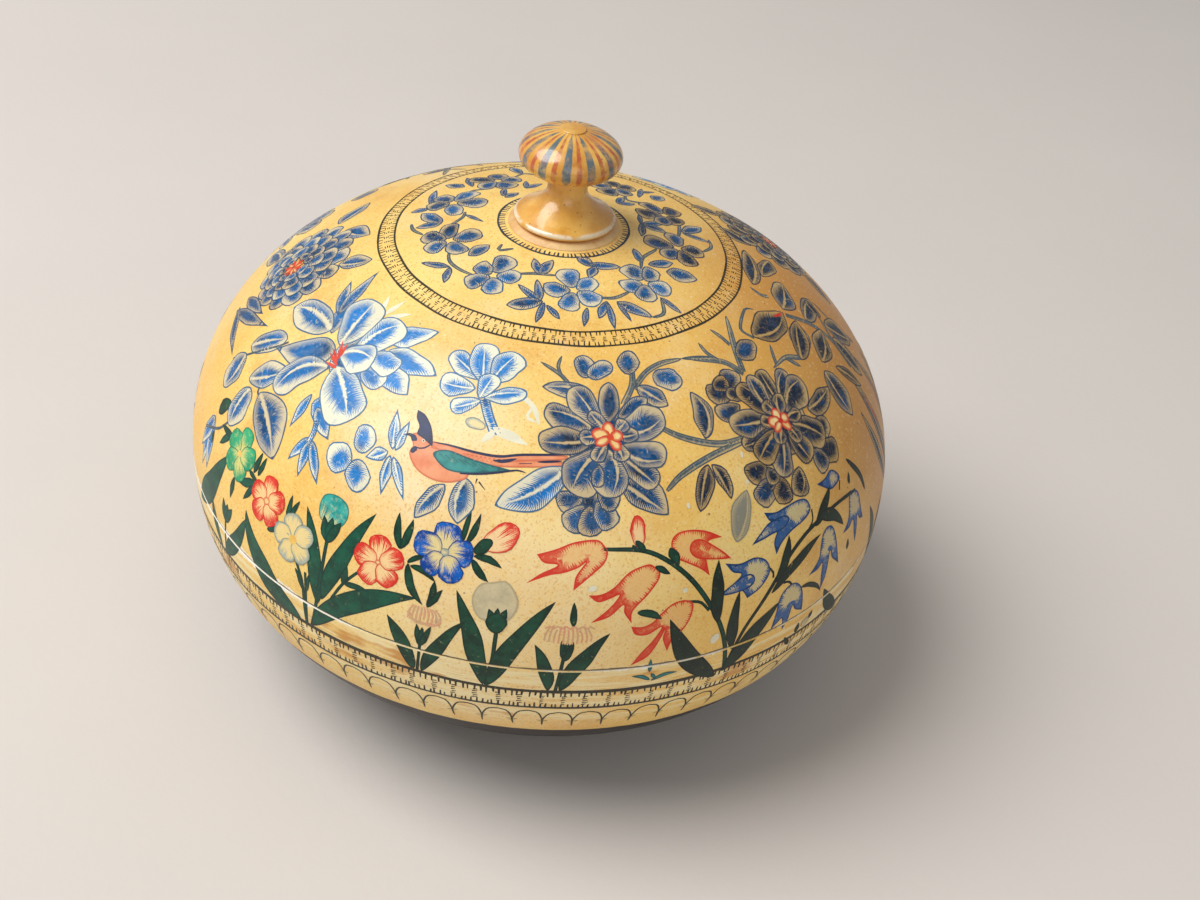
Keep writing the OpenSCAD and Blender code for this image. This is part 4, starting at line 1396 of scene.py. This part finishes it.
def plants_red_bells(phi=26, name="plants_red_bells"):
    """Four red bell flowers on one bowed stem, a red bud, leaves."""
    p = Painting(name, phi, 90)
    p.stroke([(-14.8, 13), (-8, 12.4), (-3.5, 10.2), (1, 6), (4.8, 0.4), (7.8, -5.6), (9.6, -11.4),
              (10.6, -18)],
             1.0, GREEN, (0.6, 1.0))
    p.stroke([(0, 1.4), (3, 0.8), (5, -1.4)], 0.6, GREEN)
    p.stroke([(-9.6, 13.2), (-7.4, 12.2)], 0.8, GREEN)
    p.phi = math.radians(phi - 14)
    bell(p, [(2.2, 13.3), (0.6, 14.7), (-3.3, 14.3), (-6.7, 12.9), (-10.2, 11.7, 1), (-8.9, 10.3),
             (-6.4, 10),
             (-9.4, 8.3), (-12, 6.3, 1), (-8.1, 8), (-5.4, 8.6), (-2.8, 9.6), (-1.4, 10.6), (-3.1, 8.1),
             (-3.5, 5.4, 1), (-0.8, 7.8), (1.9, 10.3), (2.6, 12.2)], (2.4, 13), (-11, 8), RED_BELL)
    bell(p, [(11.4, 9.2), (10, 9.7), (6.7, 8.6), (3.9, 5.9), (1.7, 4.7), (-0.7, 4.5, 1), (1.1, 3.2),
             (3.3, 3.8),
             (5, 4.4), (3.3, 2), (0, -0.9, 1), (3.3, 0.2), (5.8, 2.4), (6.1, 0.8), (7.6, -1.4, 1),
             (7.7, 1.1),
             (10.3, 3.9), (12.2, 6.4), (12.5, 8.1)], (12, 8.8), (2, 0), RED_BELL)
    p.phi = math.radians(phi)
    bell(p, [(-2.2, 12.2), (-1.7, 13.9), (0, 14.8), (2.8, 14.7), (5.6, 13.8), (8.3, 12.2, 1), (5.4, 12.1),
             (4.4, 10.6), (4.6, 8.6), (5.1, 5.6, 1), (3.2, 7.3), (0.6, 8.9), (-1.7, 10.3)],
         (-2.2, 12.4), (8, 8), RED_BELL)
    p.blade((9.9, 7.8), (1.5, 12), 3.4, RED_BELL, 1.1, 0.45)
    bell(p, [(1.7, 0.3), (1.1, 1.4), (-0.6, 1.9), (-2.8, 1.4), (-5, -0.3), (-6.4, -1.7), (-8.3, -2.4),
             (-10.5, -2.1, 1), (-9.6, -3.9), (-7.2, -4.2), (-4.6, -2.9), (-6.1, -5.6), (-8.3, -8.3),
             (-10, -11.1, 1), (-7.2, -9.6), (-5.6, -7.4), (-3.8, -3.6), (-4.2, -5.6), (-3.1, -8.7, 1),
             (-2.2, -6.1), (-0.3, -4.4), (1.1, -2.2)], (1.4, 0.8), (-8, -9), RED_BELL)
    p.blade((-8.4, 13), (-7.8, 18.8), 2.9, RED, *BUD, tone=0.8)
    leaves(p, [((-8.8, 14.2), (-7, 12), 1.4, 0), ((-5.6, 9.2), (-2.8, 7.4), 1.3, 0),
               ((-2.5, 12.2), (-0.9, 8.8), 2.0, 0), ((-9.4, 0.6), (-4.6, -1.3), 1.7, 0.1)], GREEN)
    leaves(p, [((7, -4.6), (7.2, 8.2), 2.9, 0.03), ((8.6, -19), (-3, -1.5), 4.4, 0.07),
               ((11.2, -12.4), (11.7, 0.8), 2.6, 0.06)], DARK_GREEN)
    # small plant under the broken place in the seam
    leaves(p, [((-5.6, -15.6), (-9.4, -14), 1.0, -0.1), ((-5.4, -15.8), (-0.2, -14.6), 1.0, 0.1),
               ((-6, -13.4), (-6.1, -10), 0.9, 0), ((-5.6, -13.8), (-4.4, -15.6), 0.8, 0)], TEAL)
    p.build()


def plants_carnation(phi=12, name="plants_carnation"):
    """Faint pink carnation between two leaves."""
    p = Painting(name, phi, 90)
    p.stroke([(-4.2, -6.6), (-4.7, -12), (-5.2, -17.2)], 0.7, GREEN)
    leaves(p, [((-6.6, -17.2), (-9.9, -5.8), 2.7, -0.06), ((-4.4, -17.2), (3.8, -3.2), 3.4, 0.06),
               ((-3.1, -1.8), (-3.2, 3.2), 1.4, 0)], GREEN)
    for tip in ((-5, -4.6), (-3.9, -4.8), (-2.8, -4.9)):
        p.blade((-4.1, -9.4), tip, 1.5, GREEN, *BLADE)
    for k in range(11):
        x = -8.2 + 0.85 * k
        top = -1.9 + 0.5 * math.sin(k * 2.2)
        foot = -5.6 + 0.8 * abs(k - 5) / 5
        p.stroke([(x, foot), (x + 0.1, -3.6), (-3.9 + (x + 3.9) * 0.8, top)], 0.32, BLUSH)
    for k in range(6):
        x = -7.4 + 1.5 * k
        p.stroke([(x - 0.8, -2.2), (x, -1.7), (x + 0.8, -2.2)], 0.3, BLUSH)
    p.build()


def plants_blue_bells(phi=46, name="plants_blue_bells"):
    """Blue bell flowers on branching dark stems."""
    p = Painting(name, phi, 90)
    p.stroke([(-16, -18), (-13, -9), (-8, -2.8), (-2, 3), (3, 5.8), (8, 7), (15, 7.4), (23, 6.4)], 0.9,
             DARK_GREEN,
             (1.0, 0.6))
    p.stroke([(6.8, 10), (6.5, 7.8), (4.8, 6.6)], 0.4, DARK_GREEN)
    p.stroke([(-3.2, -1.4), (-1.8, -1.6), (-1, -2.6)], 0.5, DARK_GREEN)
    p.stroke([(-7, 3.4), (-5.8, 2.2), (-5.8, 0.8)], 0.5, DARK_GREEN)
    p.stroke([(17.6, 11), (16.8, 9.4)], 0.4, DARK_GREEN)
    bell(p, [(-6.4, 3.3), (-7.4, 5.3), (-9.8, 6.4), (-13.1, 6.2), (-16.3, 7.1, 1), (-15, 5), (-13.2, 4),
             (-15.8, 2.4), (-18.5, 1, 1), (-15.5, 0.8), (-13.4, 0.6), (-12.3, -1.3, 1), (-9.2, -0.2),
             (-7, 1.6)],
         (-6.6, 3), (-17, 2), BLUE_BELL)
    p.blade((-18.4, 1.1), (-10.2, 2.5), 2.9, BLUE_BELL, 1.0, 0.45)
    bell(p, [(6.6, 11), (5.8, 12.5), (3.6, 13.2), (0.2, 13.2), (-2.6, 13.1), (-5.3, 13.9, 1), (-4.4, 11.9),
             (-2.4, 11.2), (-3.4, 9.4), (-4.6, 7.6), (-4.5, 5.2, 1), (-2.6, 7), (0.2, 8.2), (4.1, 8.9),
             (6.2, 9.8)],
         (6.6, 10.8), (-5, 9), BLUE_BELL)
    p.blade((-9.8, 8.8), (0.4, 10.8), 2.6, BLUE_BELL, 1.1, 0.5, bend=0.06)
    bell(p, [(10.8, 4.6), (9.1, 3.9), (8, 1.7), (7.2, -0.8), (4.1, -3, 1), (6.9, -2.9), (8.4, -2.2),
             (8.2, -5),
             (8.4, -8.5, 1), (9.9, -5.6), (11.1, -0.9), (11.9, -2.8), (14.5, -5.4, 1), (13.9, -2.2),
             (13.3, 1.7),
             (12.4, 3.9)], (10.8, 4.6), (8.6, -8), BLUE_BELL)
    bell(p, [(-1, -2.5), (-3.1, -3.3), (-4.3, -5), (-4.8, -7.8), (-5.5, -11.5, 1), (-3.7, -10.3),
             (-2.8, -10),
             (-2.1, -13.2, 1), (-0.9, -11.1), (-0.2, -8), (0.8, -9.4), (3.1, -10.7, 1), (2.8, -7.8),
             (2.2, -5),
             (0.8, -3.1)], (-1, -2.5), (-2, -12), BLUE_BELL)
    bell(p, [(17.9, 11.7), (16.9, 13.3), (15.2, 14.2), (13, 13.6), (10.1, 13.6, 1), (11.9, 12.2),
             (14.1, 10.8),
             (16.9, 11)], (17.9, 12), (11, 13.4), BLUE_BELL)
    leaves(p, [((-5.2, -0.4), (-0.6, 7.8), 2.4, -0.08), ((-6.4, -2.4), (8.4, 4.2), 2.3, 0.05),
               ((7, 6.4), (13.8, 11.8), 2.4, -0.05), ((8, 7.6), (16.4, 2.2), 2.6, 0.14),
               ((1.8, -4.6), (8.6, -9), 1.2, 0.14), ((-15.8, -18), (-4.2, -5.2), 4.2, 0.05),
               ((17.8, -19.6), (10, -9.2), 3.2, 0.04), ((1.8, -19.6), (-0.5, -16.2), 1.2, 0),
               ((3, -16.8), (3.2, -14.2), 1.4, 0)], DARK_GREEN)
    p.blade((4.2, -15.6), (6.6, -15), 2.4, PALE_GREY, *BUD)
    p.blade((-12.9, 10.4), (-7.4, 19.2), 4.6, GREY_LEAF, *LEAFY, bend=0.03, tone=0.1, rib=0.3)
    p.build()


def plants_far_right(phi=62, name="plants_right_edge"):
    """Last bells before the side."""
    p = Painting(name, phi, 92)
    p.stroke([(-9, 9.6), (-3, 9.4), (1.4, 8.9)], 0.5, DARK_GREEN)
    p.stroke([(3, 15.2), (6.4, 10), (7.4, 6)], 1.4, DARK_GREEN, (0.2, 0.2))
    bell(p, [(2.1, 8.8), (0.2, 8.6), (-0.7, 6.7), (-1.8, 4.2), (-4.4, 2.4, 1), (-1.8, 2.3), (0.2, 3.1),
             (0.2, 0),
             (0.8, -2.6, 1), (1.8, 1.1), (2.3, 3.1), (3.2, 1.7), (4.9, 1, 1), (4.3, 3.9), (4.1, 7.2)],
         (2, 8.8), (1, -2), BLUE_BELL)
    leaves(p, [((1.2, 10.6), (2.2, 12.8), 1.1, 0), ((-2.8, -2.2), (-2.4, 0.2), 1.2, 0),
               ((13, -15), (9.4, 1), 3.0, -0.06), ((14, -15), (20, -3), 3.2, 0.06),
               ((-14.4, -13.2), (-13.8, -11), 1.2, 0)], DARK_GREEN)
    p.build()


RING_STEP = 12          # degrees round the body that one stroke of a ring covers


def wobble_at(angle, wobble, seed):
    """How far a ring line wanders from its circle."""
    return wobble * (math.sin(3 * angle + seed) + 0.6 * math.sin(7 * angle + 2 * seed)
                     + 0.4 * math.sin(17 * angle + seed))


def ring_line(p, s, width, material, wobble, seed):
    """Line all the way round the body, drawn in short strokes that wander up and down."""
    for k in range(360 // RING_STEP):
        p.phi = math.radians(k * RING_STEP)
        rows = []
        for i in range(7):
            a = math.radians((i / 6 - 0.5) * RING_STEP)
            y = p.s - s + wobble_at(p.phi + a, wobble, seed)
            rows.append((a * radius_at(p.s - y), y))
        p.stroke(rows, width * (1 + 0.15 * math.sin(k * 1.7 + seed)), material, sharp=True)


def ticks(p, s, spacing, length, width, material, wobble, seed):
    """Short strokes from a ring line; a positive length points to the crown."""
    jitter = random.Random(5)
    count = int(2 * math.pi * radius_at(s) / spacing)
    for k in range(count):
        angle = 2 * math.pi * (k + jitter.uniform(-0.2, 0.2)) / count
        p.phi = angle
        y = p.s - s + wobble_at(angle, wobble, seed)
        lean = jitter.uniform(-0.12, 0.12)
        reach = length * jitter.uniform(0.75, 1.2)
        p.stroke([(0, y), (lean, y + reach)], width * jitter.uniform(0.8, 1.2), material, (1.0, 0.6))


def dashes(p, s, spacing, rows, gap, length, width, slant=0.0):
    """Columns of short strokes lying round the body."""
    jitter = random.Random(9)
    count = int(2 * math.pi * radius_at(s) / spacing)
    for k in range(count):
        p.phi = 2 * math.pi * (k + jitter.uniform(-0.08, 0.08)) / count
        for row in range(rows):
            y = p.s - s + (row - (rows - 1) / 2) * gap + jitter.uniform(-0.06, 0.06)
            half = length / 2 * jitter.uniform(0.7, 1.25)
            x = jitter.uniform(-0.12, 0.12)
            p.stroke([(x - half, y - slant / 2), (x + half, y + slant / 2)], width, INK_LINE, (0.9, 0.5))


def medallion():
    p = Painting("medallion_band", 0, 36)
    ring_line(p, 37.7, 0.42, INK_LINE, 0.15, seed=1.0)
    ring_line(p, 34.2, 0.42, INK_LINE, 0.12, seed=2.0)
    ticks(p, 37.7, 0.98, 1.15, 0.3, INK_LINE, 0.15, 1.0)
    ticks(p, 34.2, 0.95, -1.05, 0.3, INK_LINE, 0.12, 2.0)
    dashes(p, 35.95, 1.9, 3, 0.42, 0.7, 0.27)
    p.build()


def knob_ring():
    p = Painting("knob_ring_band", 0, 20)
    ring_line(p, 13.3, 0.45, RING_INK, 0.05, seed=3.0)
    ring_line(p, 11.75, 0.5, RING_INK, 0.05, seed=4.0)
    ticks(p, 13.2, 0.95, 1.5, 0.38, RING_INK, 0.05, 3.0)
    p.build()


def lower_band():
    p = Painting("lower_band", 0, 112)
    ring_line(p, 107.4, 0.85, INK_LINE, 0.10, seed=5.0)
    ring_line(p, 112.7, 0.58, INK_LINE, 0.16, seed=6.0)
    ticks(p, 107.6, 1.15, -1.4, 0.46, INK_LINE, 0.10, 5.0)
    ticks(p, 112.6, 1.0, 1.3, 0.42, INK_LINE, 0.16, 6.0)
    dashes(p, 110.1, 4.1, 5, 0.62, 0.9, 0.36, slant=0.2)
    p.build()


def arcade():
    """Row of round arches below the band, each pair meeting on a stem with a cross mark."""
    p = Painting("arcade_band", 0, 116)
    jitter = random.Random(17)
    count = 79
    half = math.pi * radius_at(118) / count
    for k in range(count):
        p.phi = 2 * math.pi * k / count
        top = 1.9 + jitter.uniform(-0.25, 0.25)
        for foot in (-half, half):
            line = [(foot, -2.2), (foot * 0.92, -0.6), (foot * 0.62, top - 0.6), (0, top)]
            p.stroke(line, 0.36, INK_LINE, (0.9, 0.9))
        drop = -4.6 + jitter.uniform(-0.4, 0.5)
        lean = jitter.uniform(-0.3, 0.3)
        p.stroke([(half, -1.6), (half + lean * 0.3, -3), (half + lean, drop)], 0.38, INK_LINE, (1.0, 0.2))
        rise = jitter.uniform(-0.2, 0.3)
        p.stroke([(half - 1.1, -1.9 - rise), (half + 1.0, -1.8 + rise)], 0.34, INK_LINE, (0.4, 0.5))
        p.stroke([(half - 0.8, -2.4 - rise), (half + 0.7, -2.3 + rise)], 0.24, INK_LINE, (0.3, 0.3))
    p.build()


YELLOW = flat_paint("yellow_middles", (244, 204, 110), (232, 180, 84))
JADE = rayed("jade_petals", (14, 110, 78), (196, 214, 130), (54, 176, 122), (30, 150, 104), 0.35)
POPPY = rayed("poppy_teal", (24, 112, 104), (206, 216, 164), (60, 172, 160), (24, 132, 126), 0.15)
DARK_GREEN = flat_paint("dark_green_leaves", (26, 50, 34), (20, 34, 26), (14, 24, 20))
PALE_GREY = flat_paint("pale_grey_ball", (206, 194, 158), (172, 166, 140), (150, 144, 122), thin=0.2)
BLUSH = flat_paint("blush_strokes", (224, 138, 112), (196, 160, 132), thin=0.25)
RING_INK = flat_paint("ring_ink", (62, 70, 78), (48, 54, 62))
GREY_LEAF = hatched("grey_leaf", (130, 128, 118), (196, 176, 132), (140, 138, 122),
                    (200, 182, 140), (150, 150, 136), wide=0.6, fill=0.5)


def spot(p, phi, s):
    """Local place of a point given by azimuth in degrees and distance down from the crown in mm."""
    turn = (phi - math.degrees(p.phi) + 180) % 360 - 180
    return (math.radians(turn) * radius_at(s), p.s - s)


def wreath_flower(p, centre, tips, tone):
    """Small flower of the crown wreath, tips given as (degrees, mm)."""
    x, y = spot(p, *centre)
    for k, tip in enumerate(tips):
        tx, ty = spot(p, *tip)
        base = (x + (tx - x) * 0.12, y + (ty - y) * 0.12)
        end = (x + (tx - x) * 1.18, y + (ty - y) * 1.18)
        wide = 4.9 if k == 0 else 4.3
        p.blade(base, end, wide, BLUE, 0.6, 0.36, tone=tone + 0.1 * math.sin(2 * k), rib=0.0)


# Wreath flowers round the crown: middle, then the outer ends of the petals, in degrees and mm.
WREATH = (
    ((-66, 24), ((-66.5, 18.2), (-54.5, 23.6), (-79.5, 23), (-74, 28), (-64, 28.6)), 0.30),
    ((-29, 24), ((-31, 18.4), (-18.4, 22.2), (-39, 23.4), (-34.5, 28.4), (-23.5, 28)), 0.45),
    ((10.5, 23.4), ((7, 18), (21.4, 21), (-2, 23.6), (7.4, 28.2), (19.4, 26.6)), 0.55),
    ((47, 24), ((47, 19), (36, 23.6), (57.6, 22.4), (41, 28), (53, 28)), 0.45),
    ((87.5, 23.6), ((86, 17.4), (76, 22), (78, 27), (90, 28.4), (99.6, 22.6)), 0.15),
    ((121.5, 23.8), ((124, 18.4), (135, 22.6), (127, 28), (114, 26), (112, 21.4)), 0.10),
    ((158, 24), ((157, 19), (168, 22), (163, 27.6), (153, 28), (148, 22.6)), 0.15),
    ((-176, 24), ((-177, 19), (-165, 22.6), (-171, 28), (178, 28), (173, 22.6)), 0.25),
    ((-140, 24.4), ((-139, 19.6), (-128, 23.4), (-133, 29), (-145, 28.4), (-150, 23.4)), 0.25),
    ((-105, 24.4), ((-109, 18.4), (-93, 22.4), (-100, 28.6), (-110, 28.4), (-119, 23)), 0.35),
)
# Leaves of the wreath: base, end, width.
WREATH_LEAVES = (
    ((-49, 23), (-50.5, 17.6), 3.4), ((-47.6, 27.6), (-57.6, 31.4), 1.8), ((-47.6, 27.6), (-41.8, 31.4),
                                                                           1.8),
    ((-8, 20), (-17, 15.4), 2.2), ((-8, 20), (-2.8, 14.6), 2.6), ((-3.6, 27.4), (-8.4, 21.4), 1.9),
    ((-3.6, 27.4), (-16, 24), 1.9), ((-2.6, 27.2), (-15.6, 30.2), 3.4), ((-2, 27.4), (-3.4, 33), 1.6),
    ((-1, 28), (4.6, 31.4), 1.5), ((23, 15.6), (43.4, 18.2), 2.4), ((26, 16.4), (16.6, 12.9), 2.8),
    ((28, 16.4), (19.6, 19.8), 2.2), ((15, 28), (12.6, 33), 1.4), ((24, 26.6), (18.4, 31), 2.0),
    ((24, 26.6), (22.8, 34), 1.5), ((28, 27), (38, 32.6), 2.6), ((28, 27), (29.6, 32.6), 1.1),
    ((47, 28.6), (49, 34), 1.5), ((58.6, 19.4), (68.6, 15.6), 2.2), ((60, 20.6), (72.6, 24), 2.6),
    ((63, 24.2), (70, 30), 4.4), ((110, 16.4), (88.6, 15.9), 1.8), ((109, 16.6), (100.6, 21.4), 2.6),
    ((108, 16.6), (112.4, 22), 2.4), ((108, 16.2), (123, 17.6), 1.2), ((104, 25), (101.6, 31.4), 1.6),
    ((105, 25), (113.6, 31), 3.0), ((141, 16.2), (136.4, 20.2), 1.9), ((141, 16.2), (147, 20.2), 1.9),
    ((139, 26.6), (141, 31.4), 3.2), ((143, 24), (150.6, 30.4), 1.4), ((-124, 15.8), (-138, 15.8), 2.2),
    ((-125, 16.6), (-136, 19.8), 1.5), ((-126, 25.6), (-133.6, 31.6), 1.7), ((-124, 27), (-122.8, 32), 3.0),
    ((-83.6, 24.6), (-94.4, 29.6), 3.4), ((-83.6, 24.6), (-82.4, 30), 2.6), ((-92, 20.4), (-81, 16.2), 1.2),
    ((-101, 28.6), (-117, 31.8), 1.7), ((-98.6, 28.6), (-96, 32.2), 2.2), ((-147, 17.2), (-161, 19.2), 1.7),
    ((-147, 17.2), (-153, 21.6), 1.3), ((-155, 27), (-155, 34), 2.6), ((176, 28.4), (170, 32.6), 2.0),
    ((-168, 16), (-176, 19), 1.6), ((148, 26.4), (146, 32), 1.4),
)
# Stems of the wreath, as lines of (degrees, mm) points.
WREATH_STEMS = (
    ((-60, 24.6), (-52, 26.6), (-44, 26.8), (-36, 26.2)), ((-19, 21.2), (-10, 19.8), (1, 19.4)),
    ((20.6, 25.4), (28, 26), (37, 25)), ((54, 20.4), (64, 18.6), (79, 19.6)), ((97, 23.6), (106, 24.6),
                                                                               (116, 26)),
    ((134, 24), (142, 20), (149, 22)), ((-95, 20.4), (-88, 20.6), (-80, 23)), ((-128, 22), (-121, 24),
                                                                               (-117, 22)),
    ((-86, 31), (-81, 30.4), (-76, 28.6)), ((92, 29), (98, 31), (104, 31)), ((38, 32.6), (43, 32.4),
                                                                             (47, 29)),
    ((-164, 24), (-157, 27), (-150, 25)), ((168, 25), (173, 24)), ((-36, 15), (-42, 17.4), (-46, 15.6)),
)


def wreath():
    """Ring of small blue flowers between the knob and the medallion."""
    p = Painting("crown_wreath", 0, 24)
    for line in WREATH_STEMS:
        p.phi = math.radians(line[len(line) // 2][0])
        rows = [spot(p, *q) for q in line]
        p.stroke(rows, 0.85, STEM, (0.5, 0.5))
    for base, end, width in WREATH_LEAVES:
        p.phi = math.radians(base[0])
        p.layer = 0
        p.blade(spot(p, *base), spot(p, *end), width, BLUE, *LEAFY, tone=0.35, rib=0.0)
    for centre, tips, tone in WREATH:
        p.phi = math.radians(centre[0])
        p.layer = 2
        wreath_flower(p, centre, tips, tone)
    p.build()


# angle round the body, way down from the crown, length, width and turn of each flake
FLAKES = ((12.0, 84.2, 1.7, 1.1, 20), (26.0, 86.2, 1.1, 0.9, 0), (31.2, 98.2, 2.4, 1.7, 60),
          (40.9, 64.4, 1.3, 0.6, 70), (40.0, 69.5, 0.9, 0.7, 90), (28.0, 70.8, 1.1, 0.7, 100))


def flakes():
    """Spots on the lid where the paint has come off down to the white ground."""
    p = Painting("white_flakes", 20, 80)
    p.layer = 12
    for phi, s, length, width, turn in FLAKES:
        p.phi = math.radians(phi)
        a = math.radians(turn)
        half = (length / 2 * math.cos(a), length / 2 * math.sin(a))
        y = p.s - s
        p.blade((-half[0], y - half[1]), (half[0], y + half[1]), width, WHITE, *BUD)
    p.build()


flakes()
medallion()
knob_ring()
wreath()
lower_band()
arcade()
plants_far_left()
left_edge_flower()
plants_left()
plants_middle()
plants_carnation()
plants_red_bells()
plants_blue_bells()
plants_far_right()


# The photograph doesn't show the back: the painter's plants go on round it, a guess.
BACK_TURN = 165         # from a flower in front to its repeat behind, degrees
PLANT_TURN = 155
SIDE_TURN = 284


def back_side():
    """Repeats of the front's flowers and plants on the unseen side, in other tones."""
    dahlia(-41 + BACK_TURN, 50, 0.06, "back_dark_flower")
    small_flower(-11 + BACK_TURN, 50, 0.8, "back_small_flower")
    central_flower(15 + BACK_TURN, 57, 0.5, "back_middle_flower")
    central_links(33.9 + BACK_TURN, "back_linking_leaves")
    right_flower(53 + BACK_TURN, 62, 0.2, "back_right_flower")
    bird(-14 + BACK_TURN, 64, "back_bird")
    plants_far_left(-44 + PLANT_TURN, "back_green_flower")
    plants_left(-24 + PLANT_TURN, "back_poppy")
    plants_middle(-8 + PLANT_TURN, "back_blue_flower")
    plants_carnation(12 + PLANT_TURN, "back_carnation")
    plants_red_bells(26 + PLANT_TURN, "back_red_bells")
    plants_blue_bells(46 + PLANT_TURN, "back_blue_bells")
    plants_far_right(62 + PLANT_TURN, "back_last_bells")
    small_flower(253, 66, 0.4, "side_small_flower")
    plants_carnation(242, "side_carnation")
    plants_left(-24 + SIDE_TURN, "side_poppy")
    plants_carnation(281, "left_carnation")


back_side()


def build_floor():
    sheet = Sheet("floor_pale")
    colour = sheet.mix(sheet.noise(9, 4, 0.6), (214, 206, 198), (222, 214, 206))
    mat = sheet.finish(colour, 0.8, sheet.noise(500, 2, 0.5), 0.00005, coat=0.0, spec=0.3)
    mesh = bpy.data.meshes.new("floor")
    size = 3.0
    mesh.from_pydata([(-size, -size, 0), (size, -size, 0), (size, size, 0), (-size, size, 0)], [],
                     [(0, 1, 2, 3)])
    mesh.materials.append(mat)
    link(mesh, "floor")


def area_light(name, direction, distance, size, power):
    light = bpy.data.lights.new(name, "AREA")
    light.shape = "DISK"
    light.size = size
    light.energy = power
    obj = link(light, name)
    aim = Vector((0, 0, 0.05))
    spot = aim + Vector(direction).normalized() * distance
    obj.location = spot
    obj.rotation_euler = (aim - spot).to_track_quat("-Z", "Y").to_euler()


def build_light():
    area_light("key_softbox", (-0.55, -0.11, 0.83), 1.3, 1.0, 16.5)
    area_light("front_fill", (0.25, -1.0, 0.55), 1.6, 1.2, 3.4)
    world = bpy.data.worlds.new("studio")
    bpy.context.scene.world = world
    world.use_nodes = True
    back = world.node_tree.nodes["Background"]
    back.inputs[0].default_value = (0.80, 0.81, 0.83, 1)
    back.inputs[1].default_value = 0.38


ELEVATION, ROLL = math.radians(36.071), math.radians(7.295)
DISTANCE, SHIFT_X, SHIFT_Y = 4.7147, -0.1737, 0.0332     # in body radii
LENS = 48.0


def build_camera():
    right = Vector((1, 0, 0))
    up = Vector((0, math.sin(ELEVATION), math.cos(ELEVATION)))
    ahead = Vector((0, math.cos(ELEVATION), -math.sin(ELEVATION)))
    spot = (-SHIFT_X * right - SHIFT_Y * up - DISTANCE * ahead) * BODY_R * MM
    spot += Vector((0, 0, SEAM_Z * MM))
    side = math.cos(ROLL) * right + math.sin(ROLL) * up
    top = math.cos(ROLL) * up - math.sin(ROLL) * right
    camera = bpy.data.cameras.new("camera")
    camera.lens = LENS
    camera.sensor_width = 36.0
    obj = link(camera, "camera")
    frame_axes = Matrix((side, top, -ahead)).transposed().to_4x4()
    obj.matrix_world = Matrix.Translation(spot) @ frame_axes
    bpy.context.scene.camera = obj


build_floor()
build_light()
build_camera()
bpy.context.scene.view_settings.view_transform = "Standard"
